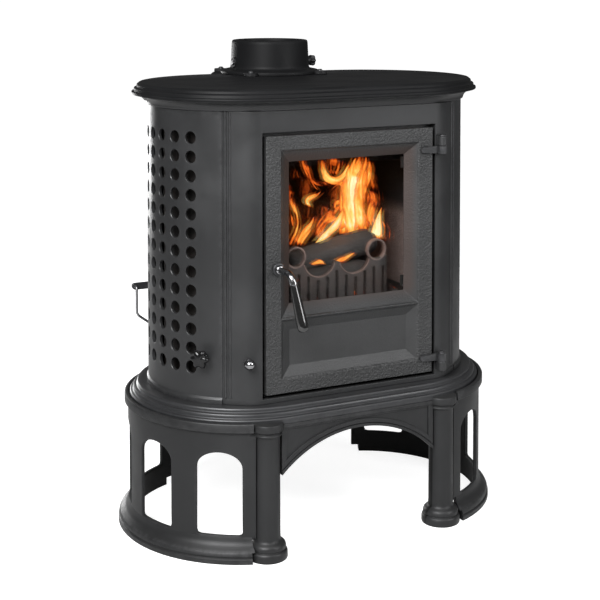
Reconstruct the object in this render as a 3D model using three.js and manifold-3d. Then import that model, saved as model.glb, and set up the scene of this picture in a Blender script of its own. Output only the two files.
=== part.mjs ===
// Small oval cast-iron wood stove on an arcaded stand, in millimetres.
// +Z is up, the door faces -Y, +X is to the right of someone who faces the door.
// The origin is on the floor, in the middle of the stove's outline.
import * as THREE from 'three';
import { mergeVertices } from 'three/addons/utils/BufferGeometryUtils.js';
import Module from 'manifold-3d';

const wasm = await Module();
wasm.setup();

// ---------------------------------------------------------------- driving dimensions
const gap = 0.3;                    // clearance between castings that touch
const centreX = 105;                // centres of the round ends, left and right of the middle
const facetAngle = 11.6;            // degrees between two columns of air holes
const farAway = 1000;               // reach of a cutting prism

// main sizes, which the other parts of the stove follow
const standHeight = 190;
const bodyRadius = 141;             // outer face of the round ends
const bodyHeight = 407;
const doorHalfWidth = 133.5;
const frontFlat = doorHalfWidth + 21.5;   // half width of the raised flat front

// stand
const skirtRadius = bodyRadius + 30;            // outer face of the curved skirts
const skirtWall = 6;
const skirtRim = 5;                 // how far the rim stands out from the skirt
const skirtRimHeight = 13;
const floorFlange = 16;             // how far the floor moulding stands out
const floorFlangeHeight = 24;
const ledgeDepth = 12;              // shelf inside the rim that carries the base plate
const ledgeDrop = 6;
const rimWall = 4;
const windowCount = 4;
const windowPitch = 35.6;           // degrees from one arched window to the next
const windowWidth = 64;
const windowFirst = 54.7;           // angle of the foremost window, from the side axis
const windowSill = 34;
const windowCrown = standHeight - 41;
const windowRise = 22;
const skirtRearAngle = 70.5;        // where the skirts end behind
const columnX = doorHalfWidth + 6;
const columnRadius = 19.5;
const columnDepth = skirtRadius - 13;            // distance of the column axis from the middle
const columnSides = 14;
const columnSeam = 1.2;             // open joint between column and skirt
const footRadius = 28;
const footHeight = 29;
const capitalRadius = 22.5;
const capitalHeight = 12;
const apronThickness = 8;
const apronFront = skirtRadius - 7;
const archCrown = standHeight - 27;              // height of the arch over the floor
const archSpring = standHeight - 74;
const archBead = 10;

// base plate and body
const baseEdge = skirtRadius - 3;
const baseRib = baseEdge - 22;                // inside of the rim that stands on the ledge
const basePlateWall = 8;
const baseTop = standHeight + 16;
const bodyWall = 6;
const bodyTop = baseTop + bodyHeight;
const seamAngle = 54.2;             // joint between side panel and front frame
const seamOpening = 0.1;            // half of that joint, in degrees
const frontFlatWall = 10;
const panelWall = 5;
const holeDiameter = 17.5;
const holeRows = 13;
const holeColumns = 7;
const holeFirstZ = baseTop + 48;
const holePitchZ = 26.7;
const seamBead = 4;
const footBead = 2;                 // raised line along the foot of the body
const footBeadHeight = 9;
const jacketRadius = bodyRadius - 23;
const jacketWall = 6;

// crown
const crownRingHeight = 14;
const crownEdge = bodyRadius + 23;
const crownHeight = 16.7;
const crownPlateWall = 7;
const lobeHalfWidth = 84;           // rear extension that carries the flue collar
const collarY = bodyRadius - 6;
const lobeBeyond = 80;
const lobeCorner = 20;

// flue
const collarRadius = 60;
const collarSides = 24;
const collarFlare = 2.3;
const collarBore = 54;
const collarHeight = 53;
const collarFlange = 78;
const collarFlangeHeight = 7;
const collarLug = 11;
const collarLugReach = 84;
const damperHeight = 18;            // spindle height over the top plate
const damperPlateRadius = 51;
const damperPlateWall = 4;
const damperSpindle = 4;
const damperKnobRadius = 8;
const damperKnobLength = 12;
const flueBoxDrop = 120;
const flueBoxHalfWidth = 70;

// door
const doorBottom = baseTop + 12;
const doorTop = bodyTop - 35.5;
const doorGap = 5;                  // shadow gap round the door
const doorWall = 11;
const doorProud = 1;
const windowHalf = doorHalfWidth - 22.5;             // outer edge of the window's bevel
const windowBevelTop = doorTop - 19.5;
const windowBevelBottom = doorBottom + 104;
const windowBevel = 19;
const windowDepth = 14;
const lowerPanelBottom = doorBottom + 19;
const lowerPanelBevel = 17;
const lowerPanelDepth = 8;
const glassWall = 4;
const glassLap = 7;
const lipWidth = 10;                // stop behind the door that the seal meets
const lipWall = 6;
const sealWidth = 8;

// hinges
const hingeX = frontFlat - 9;
const hingeForward = 8;             // axis in front of the front frame
const knuckleRadius = 6.5;
const pinRadius = 3;
const knuckleHeight = 14;
const strapHeight = 11;
const strapReach = 34;
const strapWall = 4.5;
const hingeUpperZ = doorTop - 26.5;            // joint face between knuckle and strap
const hingeLowerZ = doorBottom + 16;
const runningGap = 0.25;

// door handle
const handleX = 18.5 - doorHalfWidth;
const handleZ = doorBottom + 175;
const handleForward = 40;
const handleDrop = 11;
const handleStem = 4.5;
const handleBoss = 9;
const handleSpindle = 4;
const gripTop = 5.2;
const gripBottom = 8.2;
const gripLength = 70;
const gripLeanSide = 8;              // degrees from the vertical, to the right
const gripLeanOut = 12;             // and away from the door
const camHub = 6;
const camWidth = 7;
const camLength = 24;
const camWall = 4;
const camY = 20 - bodyRadius;                  // front face of the cam, behind the glass clips

// fire chamber
const floorZ = windowBevelBottom;
const floorWall = 12;
const shelfDepth = 8;               // shelf on the fire walls that carries the floor
const shelfAngle = 58;
const grateHalfX = centreX - 13;
const grateHalfY = bodyRadius - 83;
const grateWall = 10;
const grateBars = 11;
const grateBar = 7;
const brickWall = 22;
const brickTop = doorTop - 57.5;
const baffleWall = 18;
const baffleSetBack = 91;           // from the front of the body to the baffle's edge
const sideBrickRun = 45;            // from the centre of a round end to its firebrick
const guardY = bodyRadius - 44;
const guardHalf = windowHalf - 23;
const guardWall = 7;
const guardEar = 11;                // feet behind the guard
const guardTop = floorZ + 52;
const guardRing = 16;
const guardRingBore = 10;
const guardRingX = guardHalf - 22;
const guardRingZ = floorZ + 74;
const guardScallop = 24;
const guardSlots = 10;
const guardSlotWidth = 6;
const guardSlotTop = floorZ + 30;
const panHalfX = centreX;
const panHalfY = bodyRadius - 49;
const panHeight = 62;
const panWall = 2;

// controls
const airAngle = 43.6;
const airZ = baseTop + 66;
const airKnobRadius = 12.5;
const airKnobLength = 16;
const airKnobGap = 6;               // room between the panel and the knob
const airSpindle = 3;
const airDiscRadius = 22;
const airDiscWall = 3;
const airPort = 6;
const airPortReach = 13;            // from the spindle to the middle of a port
const rodX = -(frontFlat + 5);
const rodZ = baseTop + 60;
const rodRadius = 4;
const rodKnobRadius = 7.5;
const rodKnobY = -(bodyRadius + 7);
const linkAngle = -4 * facetAngle;   // on a flat facet behind the air holes
const linkZ = baseTop + 125;
const linkReach = 40;
const linkBarHeight = 10;
const linkBarWall = 5;
const linkFoot = 4;
const linkFootHalf = 9;
const linkWire = 1.9;
const linkDrop = 41;
const linkToe = 22;                 // run of the slanting end back toward the panel
const rakeTeeth = 11;
const rakeTooth = 6;
const rakeTop = floorZ - 22;
const rakeY = 28 - grateHalfY;
const rakeWall = 8;

// ---------------------------------------------------------------- finishes
const finishes = {
  iron: new THREE.MeshStandardMaterial({ color: 0x2b2c2d, roughness: 0.55, metalness: 0.35 }),
  ironInside: new THREE.MeshStandardMaterial({ color: 0x1c1c1c, roughness: 0.75, metalness: 0.25 }),
  chrome: new THREE.MeshStandardMaterial({ color: 0xc8c8c8, roughness: 0.15, metalness: 1 }),
  black: new THREE.MeshStandardMaterial({ color: 0x101010, roughness: 0.3, metalness: 0 }),
  steel: new THREE.MeshStandardMaterial({ color: 0x6b6d70, roughness: 0.4, metalness: 0.9 }),
  glass: new THREE.MeshStandardMaterial({ color: 0x9fa3a0, roughness: 0.05, metalness: 0 }),
  brick: new THREE.MeshStandardMaterial({ color: 0xa88d63, roughness: 0.95, metalness: 0 }),
  rope: new THREE.MeshStandardMaterial({ color: 0x55524c, roughness: 1, metalness: 0 }),
};

// ---------------------------------------------------------------- solids
const radians = THREE.MathUtils.degToRad;
const V = (x, y, z) => new THREE.Vector3(x, y, z);

function signedVolume(position, index) {
  const [a, b, c] = [V(0, 0, 0), V(0, 0, 0), V(0, 0, 0)];
  let total = 0;
  for (let i = 0; i < index.length; i += 3) {
    a.fromBufferAttribute(position, index[i]);
    b.fromBufferAttribute(position, index[i + 1]);
    c.fromBufferAttribute(position, index[i + 2]);
    total += a.dot(b.cross(c));
  }
  return total;
}

function solidOf(geometry) {
  const bare = geometry.clone();
  bare.deleteAttribute('normal');
  bare.deleteAttribute('uv');
  const merged = mergeVertices(bare, 1e-4);
  const index = Array.from(merged.index.array);
  if (signedVolume(merged.attributes.position, index) < 0) {
    for (let i = 0; i < index.length; i += 3) [index[i], index[i + 1]] = [index[i + 1], index[i]];
  }
  const triVerts = new Uint32Array(index);
  const vertProperties = new Float32Array(merged.attributes.position.array);
  return new wasm.Manifold(new wasm.Mesh({ numProp: 3, vertProperties, triVerts }));
}

function geometryOf(solid) {
  const { vertProperties, triVerts } = solid.getMesh();
  const geometry = new THREE.BufferGeometry();
  geometry.setAttribute('position', new THREE.BufferAttribute(vertProperties, 3));
  geometry.setIndex(new THREE.BufferAttribute(triVerts, 1));
  geometry.computeVertexNormals();
  return geometry;
}

const union = (solids) => solids.reduce((sum, solid) => sum.add(solid));
const cutAll = (body, cutters) => cutters.reduce((rest, cutter) => rest.subtract(cutter), body);

function shapeOf(points) {
  return new THREE.Shape(points.map(([x, y]) => new THREE.Vector2(x, y)));
}

function rectangle(x0, x1, y0, y1, corner = 0, steps = 4) {
  if (corner <= 0) return [[x0, y0], [x1, y0], [x1, y1], [x0, y1]];
  const centres = [[x1 - corner, y0 + corner], [x1 - corner, y1 - corner],
    [x0 + corner, y1 - corner], [x0 + corner, y0 + corner]];
  return centres.flatMap(([cx, cy], k) => arc(cx, cy, corner, 90 * k - 90, 90 * k, steps));
}

function arc(cx, cy, radius, from, to, steps) {
  return Array.from({ length: steps + 1 }, (_, k) => {
    const angle = radians(from + (to - from) * k / steps);
    return [cx + radius * Math.cos(angle), cy + radius * Math.sin(angle)];
  });
}

// A plan outline raised from z0 to z1.
function upright(points, z0, z1) {
  const geometry = new THREE.ExtrudeGeometry(shapeOf(points), { depth: z1 - z0, bevelEnabled: false });
  return solidOf(geometry.translate(0, 0, z0));
}

// A front outline, drawn in X and Z, between two depths in Y.
function frontal(points, yFront, yBack) {
  const geometry = new THREE.ExtrudeGeometry(shapeOf(points), { depth: yBack - yFront, bevelEnabled: false });
  return solidOf(geometry.rotateX(Math.PI / 2).translate(0, yBack, 0));
}

// A side outline, drawn in Y and Z, between two places in X.
function lateral(points, x0, x1) {
  const geometry = new THREE.ExtrudeGeometry(shapeOf(points), { depth: x1 - x0, bevelEnabled: false });
  const turn = new THREE.Matrix4().makeBasis(V(0, 1, 0), V(0, 0, 1), V(1, 0, 0));
  return solidOf(geometry.applyMatrix4(turn).translate(x0, 0, 0));
}

function block(x0, x1, y0, y1, z0, z1) {
  const geometry = new THREE.BoxGeometry(x1 - x0, y1 - y0, z1 - z0);
  return solidOf(geometry.translate((x0 + x1) / 2, (y0 + y1) / 2, (z0 + z1) / 2));
}

function aimed(geometry, start, end) {
  const along = end.clone().sub(start).normalize();
  geometry.applyQuaternion(new THREE.Quaternion().setFromUnitVectors(V(0, 1, 0), along));
  return geometry.translate(start.x, start.y, start.z);
}

// A round bar between two points, tapered if the two radii differ.
function bar(start, end, radius, sides = 16, endRadius = radius) {
  const length = start.distanceTo(end);
  const geometry = new THREE.CylinderGeometry(endRadius, radius, length, sides).translate(0, length / 2, 0);
  return solidOf(aimed(geometry, start, end));
}

// A turned piece: its profile is [radius, height along the axis], from the axis or closed.
function turned(profile, start, toward, sides = 24) {
  const points = profile.map(([r, h]) => new THREE.Vector2(r, h));
  return solidOf(aimed(new THREE.LatheGeometry(points, sides), start, start.clone().add(toward)));
}

// Corners of one round end, in degrees, with a flat facet under each column of air holes.
function endAngles() {
  const angles = [90];
  for (let a = facetAngle / 2; a < 88; a += facetAngle) angles.push(a);
  return [...angles.map((a) => -a), ...angles].sort((p, q) => p - q);
}

function ovalOutline(radius) {
  const right = endAngles().map((a) => radians(a))
    .map((a) => [centreX + radius * Math.cos(a), radius * Math.sin(a)]);
  return [...right, ...right.map(([x, y]) => [-x, -y])];
}

// A moulding run round the oval: rings of [radius, height], closed on itself or capped.
function ovalSweep(profile, closed = false) {
  const rings = profile.map(([radius]) => ovalOutline(radius));
  const count = rings[0].length;
  const positions = rings.flatMap((ring, k) => ring.flatMap(([x, y]) => [x, y, profile[k][1]]));
  const index = [];
  const last = closed ? rings.length : rings.length - 1;
  for (let k = 0; k < last; k += 1) {
    const next = (k + 1) % rings.length;
    for (let j = 0; j < count; j += 1) {
      const [a, b] = [k * count + j, k * count + (j + 1) % count];
      const [c, d] = [next * count + j, next * count + (j + 1) % count];
      index.push(a, b, d, a, d, c);
    }
  }
  if (!closed) {
    const top = (rings.length - 1) * count;
    for (let j = 1; j < count - 1; j += 1) index.push(0, j + 1, j, top, top + j, top + j + 1);
  }
  const geometry = new THREE.BufferGeometry();
  geometry.setAttribute('position', new THREE.Float32BufferAttribute(positions, 3));
  geometry.setIndex(index);
  return solidOf(geometry);
}

// A point at a radius and angle round an end: side is -1 on the left, angles open to the front.
function endPoint(side, radius, angle) {
  return [side * (centreX + radius * Math.cos(radians(angle))), -radius * Math.sin(radians(angle))];
}

// A prism that holds the part of an end between two angles.
function endSector(side, from, to, z0, z1) {
  const spread = [0, 1 / 3, 2 / 3, 1].map((t) => endPoint(side, farAway, from + (to - from) * t));
  return upright([[side * centreX, 0], ...spread], z0, z1);
}

// A prism that holds the front of the oval up to an angle on both ends.
function frontSector(angle, z0, z1, facing = -1) {
  const points = [[-centreX, 0], endPoint(-1, farAway, angle), endPoint(1, farAway, angle), [centreX, 0]];
  return upright(points.map(([x, y]) => [x, -facing * y]), z0, z1);
}

const mirrored = (solid) => solid.mirror([1, 0, 0]);

// Takes a piece drawn with X pointing out of the left round end to its angle on that end.
const outFrom = (angle, solid) => solid.rotate([0, 0, 180 + angle]).translate([-centreX, 0, 0]);

const stove = new THREE.Group();

function place(name, finish, solid) {
  const mesh = new THREE.Mesh(geometryOf(solid), finishes[finish].clone());
  mesh.name = name;
  stove.add(mesh);
}

// ---------------------------------------------------------------- stand
const skirtInner = skirtRadius - skirtWall;
const rimOuter = skirtRadius + skirtRim;
const rimInner = rimOuter - rimWall - 2;
const flangeOuter = skirtRadius + floorFlange;
const ledgeTop = standHeight - ledgeDrop;

function archWindow(width, sill, crown, rise, corner) {
  const half = width / 2;
  const head = Array.from({ length: 9 }, (_, k) => {
    const angle = Math.PI * k / 8;
    return [half * Math.cos(angle), crown - rise + rise * Math.sin(angle)];
  });
  const [right, left] = [1, -1].map((side) => [[side * (half - corner), sill], [side * half, sill + corner]]);
  return [...right, ...head, ...left.reverse()];
}

function skirt() {
  const coveFoot = skirtRadius + floorFlange * 0.55;
  const profile = [
    [skirtInner, 0], [flangeOuter, 0], [flangeOuter, floorFlangeHeight * 0.25],
    [flangeOuter - 3, floorFlangeHeight * 0.35], [flangeOuter - 4, floorFlangeHeight * 0.5],
    [coveFoot - 1, floorFlangeHeight * 0.62], [coveFoot - 5, floorFlangeHeight * 0.8],
    [skirtRadius, floorFlangeHeight], [skirtRadius, standHeight - skirtRimHeight],
    [rimOuter, standHeight - skirtRimHeight], [rimOuter, standHeight - 1.5], [rimOuter - 1.5, standHeight],
    [rimInner, standHeight], [rimInner, ledgeTop], [skirtInner - ledgeDepth, ledgeTop],
    [skirtInner - ledgeDepth, ledgeTop - 5], [skirtInner, ledgeTop - ledgeDepth],
  ];
  const columnClear = columnX + columnRadius + columnSeam;
  const ring = ovalSweep(profile, true);
  const body = ring.intersect(endSector(1, -skirtRearAngle, 90, -1, standHeight + 1))
    .intersect(block(columnClear, farAway, -farAway, farAway, -1, standHeight + 1));
  const opening = archWindow(windowWidth, windowSill, windowCrown, windowRise, 4);
  const cutter = lateral(opening, skirtInner - 3, skirtRadius + 3);
  const windows = Array.from({ length: windowCount }, (_, k) => cutter
    .rotate([0, 0, k * windowPitch - windowFirst]).translate([centreX, 0, 0]));
  const footNotch = block(0, columnX + footRadius + columnSeam, -farAway, 0, -1, footHeight + 1);
  const capitalNotch = block(0, columnX + capitalRadius + columnSeam, -farAway, 0,
    standHeight - skirtRimHeight - 0.5, standHeight + 1);
  return cutAll(body, [...windows, footNotch, capitalNotch]);
}

function standFront() {
  const axis = V(columnX, -columnDepth, 0);
  const column = turned([
    [0, 0], [footRadius - 2, 0], [footRadius, 3], [footRadius, 8], [footRadius - 2.5, 11],
    [footRadius - 3, 15], [footRadius - 1.5, 18], [footRadius - 3.5, 22], [columnRadius + 2.5, 25],
    [columnRadius + 1, footHeight], [columnRadius, footHeight + 6],
    [columnRadius - 1, standHeight - capitalHeight - 1], [capitalRadius, standHeight - capitalHeight],
    [capitalRadius, standHeight - 2], [capitalRadius - 2, standHeight], [0, standHeight],
  ], axis, V(0, 0, 1), columnSides);
  const spanHalf = columnX - columnRadius / 2;
  const rise = archCrown - archSpring;
  const openHalf = columnX - columnRadius;
  const archRadius = (openHalf ** 2 + rise ** 2) / (2 * rise);
  const archCentre = archCrown - archRadius;
  const sweepHalf = THREE.MathUtils.radToDeg(Math.asin(openHalf / archRadius));
  const archLine = (radius, half) => arc(0, archCentre, radius, 90 + half, 90 - half, 16);
  const frontY = -apronFront;
  const sheet = frontal([[-spanHalf, ledgeTop], [-spanHalf, archSpring], ...archLine(archRadius, sweepHalf),
    [spanHalf, archSpring], [spanHalf, ledgeTop]], frontY, frontY + apronThickness);
  const band = frontal([...archLine(archRadius, sweepHalf),
    ...archLine(archRadius + archBead, sweepHalf).reverse()], frontY - 2.5, frontY + 1);
  const topBead = frontal(rectangle(-openHalf, openHalf, ledgeTop - 5, ledgeTop), frontY - 3.5, frontY + 1);
  const corner = (side) => frontal([
    [side * openHalf, archSpring + 12], [side * (openHalf - 6), archSpring + 20],
    [side * (openHalf - 6), ledgeTop - 4], [side * openHalf, ledgeTop - 4],
  ], frontY - 2, frontY + 1);
  const casting = union([sheet, column, mirrored(column), band, topBead, corner(1), corner(-1)]);
  return casting.subtract(ovalSweep([[rimInner, ledgeTop], [rimInner, standHeight + 1]]));
}

const skirtRight = skirt();
place('skirt_right', 'iron', skirtRight);
place('skirt_left', 'iron', mirrored(skirtRight));
place('stand_front', 'iron', standFront());

// ---------------------------------------------------------------- base plate
const plateUnder = ledgeTop + gap;
const basePlate = ovalSweep([
  [baseEdge, plateUnder], [baseEdge, standHeight + 2], [baseEdge - 4, standHeight + 4],
  [baseEdge - 5, standHeight + 9], [baseEdge - 10.5, standHeight + 10.5], [baseEdge - 11, baseTop - 2],
  [baseEdge - 13.5, baseTop],
]);
const baseHollow = ovalSweep([[baseRib, plateUnder - 1], [baseRib, baseTop - basePlateWall]]);
place('base_plate', 'iron', basePlate.subtract(baseHollow));

// ---------------------------------------------------------------- outer shell
const shellFoot = baseTop + gap;
const shellTop = bodyTop - gap;
const beadRadius = bodyRadius + footBead;
const footProfile = [[beadRadius, shellFoot], [beadRadius, shellFoot + footBeadHeight - 3],
  [bodyRadius, shellFoot + footBeadHeight]];

function shellRing(wall) {
  const inner = bodyRadius - wall;
  const profile = [[inner, shellFoot], ...footProfile, [bodyRadius, shellTop], [inner, shellTop]];
  return ovalSweep(profile, true);
}

const holeSides = 6;
const airWay = (r0, r1) => outFrom(airAngle, bar(V(r0, 0, airZ), V(r1, 0, airZ), airSpindle + gap, 8));

function sidePanel(side) {
  const reach = seamAngle - seamOpening;
  const sector = endSector(side, -reach, reach, shellFoot - 1, shellTop + 1);
  const panel = shellRing(panelWall).intersect(sector);
  const holes = [];
  const middle = (holeColumns - 1) / 2;
  for (let column = 0; column < holeColumns; column += 1) {
    const angle = (column - middle) * facetAngle;
    for (let row = 0; row < holeRows; row += 1) {
      const z = holeFirstZ + row * holePitchZ;
      const inside = V(...endPoint(side, bodyRadius - panelWall - 3, angle), z);
      const outside = V(...endPoint(side, bodyRadius + 3, angle), z);
      holes.push(bar(inside, outside, holeDiameter / 2, holeSides));
    }
  }
  if (side < 0) holes.push(airWay(bodyRadius - 20, bodyRadius + 5));
  return cutAll(panel, holes);
}

const doorOpenHalf = doorHalfWidth + doorGap;
const doorOpenBottom = doorBottom - doorGap;
const doorOpenTop = doorTop + doorGap;
const doorFront = -bodyRadius - doorProud;
const doorBack = doorFront + doorWall;
const lipFront = doorBack + 5;
const lipBack = lipFront + lipWall;

function frontFrame() {
  const front = frontSector(seamAngle + seamOpening, shellFoot - 1, shellTop + 1);
  const ring = shellRing(bodyWall).intersect(front);
  const flat = upright(rectangle(-frontFlat, frontFlat, -bodyRadius, frontFlatWall - bodyRadius, 3, 2),
    shellFoot, shellTop);
  const beads = [seamAngle + 1.3, seamAngle + 4].flatMap((angle) => [1, -1].map((side) => {
    const [x, y] = endPoint(side, bodyRadius, angle);
    return bar(V(x, y, shellFoot + footBeadHeight), V(x, y, shellTop), seamBead / 2, 8);
  }));
  const lipOuter = doorOpenHalf + lipWall;
  const box = block(-lipOuter, lipOuter, -bodyRadius + 4, lipBack, shellFoot, doorOpenTop + lipWall);
  const opening = block(-doorOpenHalf, doorOpenHalf, -farAway, lipFront, doorOpenBottom, doorOpenTop);
  const throat = block(lipWidth - doorHalfWidth, doorHalfWidth - lipWidth, -farAway, 0,
    doorBottom + lipWidth, doorTop - lipWidth);
  const rodWay = bar(V(rodX, -farAway, rodZ), V(rodX, 0, rodZ), rodRadius + runningGap, 10);
  return cutAll(union([ring, flat, box, ...beads]), [opening, throat, rodWay]);
}

const flueBoxTop = bodyTop + crownRingHeight;
const flueBoxFoot = flueBoxTop - flueBoxDrop;
const flueBoxWall = 6;

function backPanel() {
  const rear = frontSector(seamAngle + seamOpening, shellFoot - 1, shellTop + 1, 1);
  const ring = shellRing(bodyWall).intersect(rear);
  const flueWay = block(flueBoxWall - flueBoxHalfWidth, flueBoxHalfWidth - flueBoxWall, 0, farAway,
    flueBoxFoot + flueBoxWall, shellTop + 1);
  return ring.subtract(flueWay);
}

place('side_panel_left', 'iron', sidePanel(-1));
place('side_panel_right', 'iron', sidePanel(1));
place('back_panel', 'iron', backPanel());

// The fire chamber's side wall, set in from the perforated panel, with wings that meet front and back.
function jacket() {
  const innerWing = doorOpenHalf + lipWall + gap - centreX;
  const outerWing = innerWing + jacketWall;
  const inner = jacketRadius - jacketWall;
  const shellInner = bodyRadius - bodyWall;
  const wingEnd = Math.sqrt(shellInner ** 2 - outerWing ** 2) - 3 * gap;
  const [outerAngle, innerAngle] = [[outerWing, jacketRadius], [innerWing, inner]]
    .map(([x, radius]) => THREE.MathUtils.radToDeg(Math.acos(x / radius)));
  const plan = [...arc(centreX, 0, jacketRadius, -outerAngle, outerAngle, 10),
    [centreX + outerWing, wingEnd], [centreX + innerWing, wingEnd],
    ...arc(centreX, 0, inner, innerAngle, -innerAngle, 10),
    [centreX + innerWing, -wingEnd], [centreX + outerWing, -wingEnd]];
  return upright(plan, shellFoot, shellTop);
}

// ---------------------------------------------------------------- crown
const ringFoot = bodyTop;
const ringTop = bodyTop + crownRingHeight - gap;
const ringInner = bodyRadius - 13;
const plateFoot = bodyTop + crownRingHeight;
const crownTop = plateFoot + crownHeight;

function flueBore(radius, z0, z1) {
  return bar(V(0, collarY, z0), V(0, collarY, z1), radius, collarSides);
}

function crownRing() {
  const cove = [[3, 0], [3.5, 3], [6, 7], [10, 10.5], [12.5, crownRingHeight - gap]];
  const profile = [[ringInner, ringTop], [ringInner, ringFoot],
    ...cove.map(([out, up]) => [bodyRadius + out, ringFoot + up])];
  const boxWay = block(-flueBoxHalfWidth - gap, flueBoxHalfWidth + gap, bodyRadius, farAway,
    ringFoot - 1, ringTop + 1);
  return cutAll(ovalSweep(profile, true), [boxWay, flueBore(collarBore, ringFoot - 1, ringTop + 1)]);
}

function topPlate() {
  const under = crownTop - crownPlateWall;
  const rim = ovalSweep([
    [ringInner - 6, under], [ringInner - 6, plateFoot], [crownEdge - 1, plateFoot],
    [crownEdge, plateFoot + 1.5], [crownEdge - 0.5, plateFoot + 4], [crownEdge - 3.5, plateFoot + 5],
    [crownEdge - 4, plateFoot + 9], [crownEdge - 7.5, plateFoot + 10.5], [crownEdge - 8, plateFoot + 14],
    [crownEdge - 12, crownTop],
  ]);
  const lobe = upright(rectangle(-lobeHalfWidth, lobeHalfWidth, collarY - lobeBeyond, collarY + lobeBeyond,
    lobeCorner), plateFoot, crownTop);
  const relief = block(-lobeHalfWidth - 1, lobeHalfWidth + 1, 0, ringInner - 6, plateFoot - 1, under);
  return cutAll(union([rim, lobe.subtract(relief)]), [flueBore(collarBore, plateFoot - 1, crownTop + 1)]);
}

const shellRear = bodyRadius + gap;

function flueBox() {
  const [half, wall] = [flueBoxHalfWidth, flueBoxWall];
  const back = collarY + collarBore + wall;
  const outer = upright(rectangle(-half, half, shellRear, back, 8, 3), flueBoxFoot, plateFoot - gap);
  const inner = block(wall - half, half - wall, 0, back - wall, flueBoxFoot + wall, plateFoot + 1);
  const flat = block(-half, half, shellRear, shellRear + 10, flueBoxFoot, plateFoot - gap);
  return union([outer, flat]).subtract(inner);
}

const seatTop = crownTop + gap;

function flueCollar() {
  const rise = crownTop + collarHeight - seatTop;
  const flare = collarRadius + collarFlare;
  const tube = turned([
    [collarBore, 0], [collarFlange, 0], [collarFlange, 4], [collarFlange - 5, collarFlangeHeight],
    [flare + 2, collarFlangeHeight + 2], [flare, collarFlangeHeight + 6],
    [collarRadius, rise - 1.5], [collarRadius - 1.5, rise], [collarBore, rise], [collarBore, 0],
  ], V(0, collarY, seatTop), V(0, 0, 1), collarSides);
  const bore = flueBore(collarBore, seatTop - 1, seatTop + 9);
  const lugs = [45, 135, 225, 315].map((angle) => {
    const x = collarLugReach * Math.cos(radians(angle));
    const y = collarY + collarLugReach * Math.sin(radians(angle));
    return bar(V(x, y, seatTop), V(x, y, seatTop + 5), collarLug, 10).subtract(bore);
  });
  const spindleZ = crownTop + damperHeight;
  const bushes = [1, -1].map((side) => bar(V(side * (collarRadius - 3), collarY, spindleZ),
    V(side * (collarRadius + 4), collarY, spindleZ), damperSpindle + 4, 12));
  const spindleWay = bar(V(-collarFlange, collarY, spindleZ), V(collarFlange, collarY, spindleZ),
    damperSpindle + runningGap, 16);
  return union([tube, ...bushes, ...lugs]).subtract(spindleWay);
}

// A small cast knob with rounded lobes round its rim.
function starKnob(start, toward, radius, length, bore) {
  const at = (share) => start.clone().addScaledVector(toward, length * share);
  const boss = turned([[0, 0], [radius * 0.62, 0], [radius * 0.62, length * 0.3],
    [radius * 0.8, length * 0.4], [radius * 0.8, length * 0.85], [radius * 0.5, length], [0, length]],
  start, toward, 12);
  const side = Math.abs(toward.z) < 0.9 ? V(0, 0, 1).cross(toward).normalize() : V(1, 0, 0);
  const lobes = Array.from({ length: 6 }, (_, k) => {
    const out = side.clone().applyAxisAngle(toward, k * Math.PI / 3).multiplyScalar(radius * 0.78);
    return bar(at(0.4).add(out), at(0.85).add(out), radius * 0.24, 6);
  });
  return union([boss, ...lobes]).subtract(bar(at(-0.1), at(0.6), bore, 8));
}

function damper() {
  const z = crownTop + damperHeight;
  const reach = collarRadius + 6;
  const knobStart = collarRadius + 5;
  const hubHalf = collarBore - 8;
  const spindle = bar(V(-reach, collarY, z), V(knobStart + 6, collarY, z), damperSpindle, 12);
  const disc = bar(V(0, collarY, z - damperPlateWall / 2), V(0, collarY, z + damperPlateWall / 2),
    damperPlateRadius, 24);
  const hub = bar(V(-hubHalf, collarY, z), V(hubHalf, collarY, z), damperSpindle + 3.5, 12);
  const way = bar(V(-collarFlange, collarY, z), V(collarFlange, collarY, z), damperSpindle + gap, 16);
  place('damper_spindle', 'steel', spindle);
  place('damper_plate', 'ironInside', union([disc, hub]).subtract(way));
  place('damper_knob', 'iron', starKnob(V(knobStart, collarY, z), V(1, 0, 0), damperKnobRadius,
    damperKnobLength, damperSpindle + gap));
}

place('crown_ring', 'iron', crownRing());
place('top_plate', 'iron', topPlate());
place('flue_box', 'iron', flueBox());
place('flue_collar', 'iron', flueCollar());
damper();

// ---------------------------------------------------------------- door
// A four-sided funnel between two rectangles [x0, x1, z0, z1] at two depths.
function funnel(front, yFront, back, yBack) {
  const corners = ([x0, x1, z0, z1], y) => [[x0, y, z0], [x1, y, z0], [x1, y, z1], [x0, y, z1]];
  const geometry = new THREE.BufferGeometry();
  const positions = [...corners(front, yFront), ...corners(back, yBack)].flat();
  geometry.setAttribute('position', new THREE.Float32BufferAttribute(positions, 3));
  const sides = [0, 1, 2, 3].flatMap((k) => {
    const n = (k + 1) % 4;
    return [k, k + 4, n, n, k + 4, n + 4];
  });
  geometry.setIndex([0, 1, 2, 0, 2, 3, 4, 6, 5, 4, 7, 6, ...sides]);
  return solidOf(geometry);
}

const padBack = doorFront + windowDepth;
const glassHalf = windowHalf - windowBevel;
const glassZ0 = windowBevelBottom + windowBevel;
const glassZ1 = windowBevelTop - windowBevel;
const throatHalf = doorHalfWidth - lipWidth;
const padHalf = throatHalf - 7;

function grown([x0, x1, z0, z1], by) {
  return [x0 - by, x1 + by, z0 - by, z1 + by];
}

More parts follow.
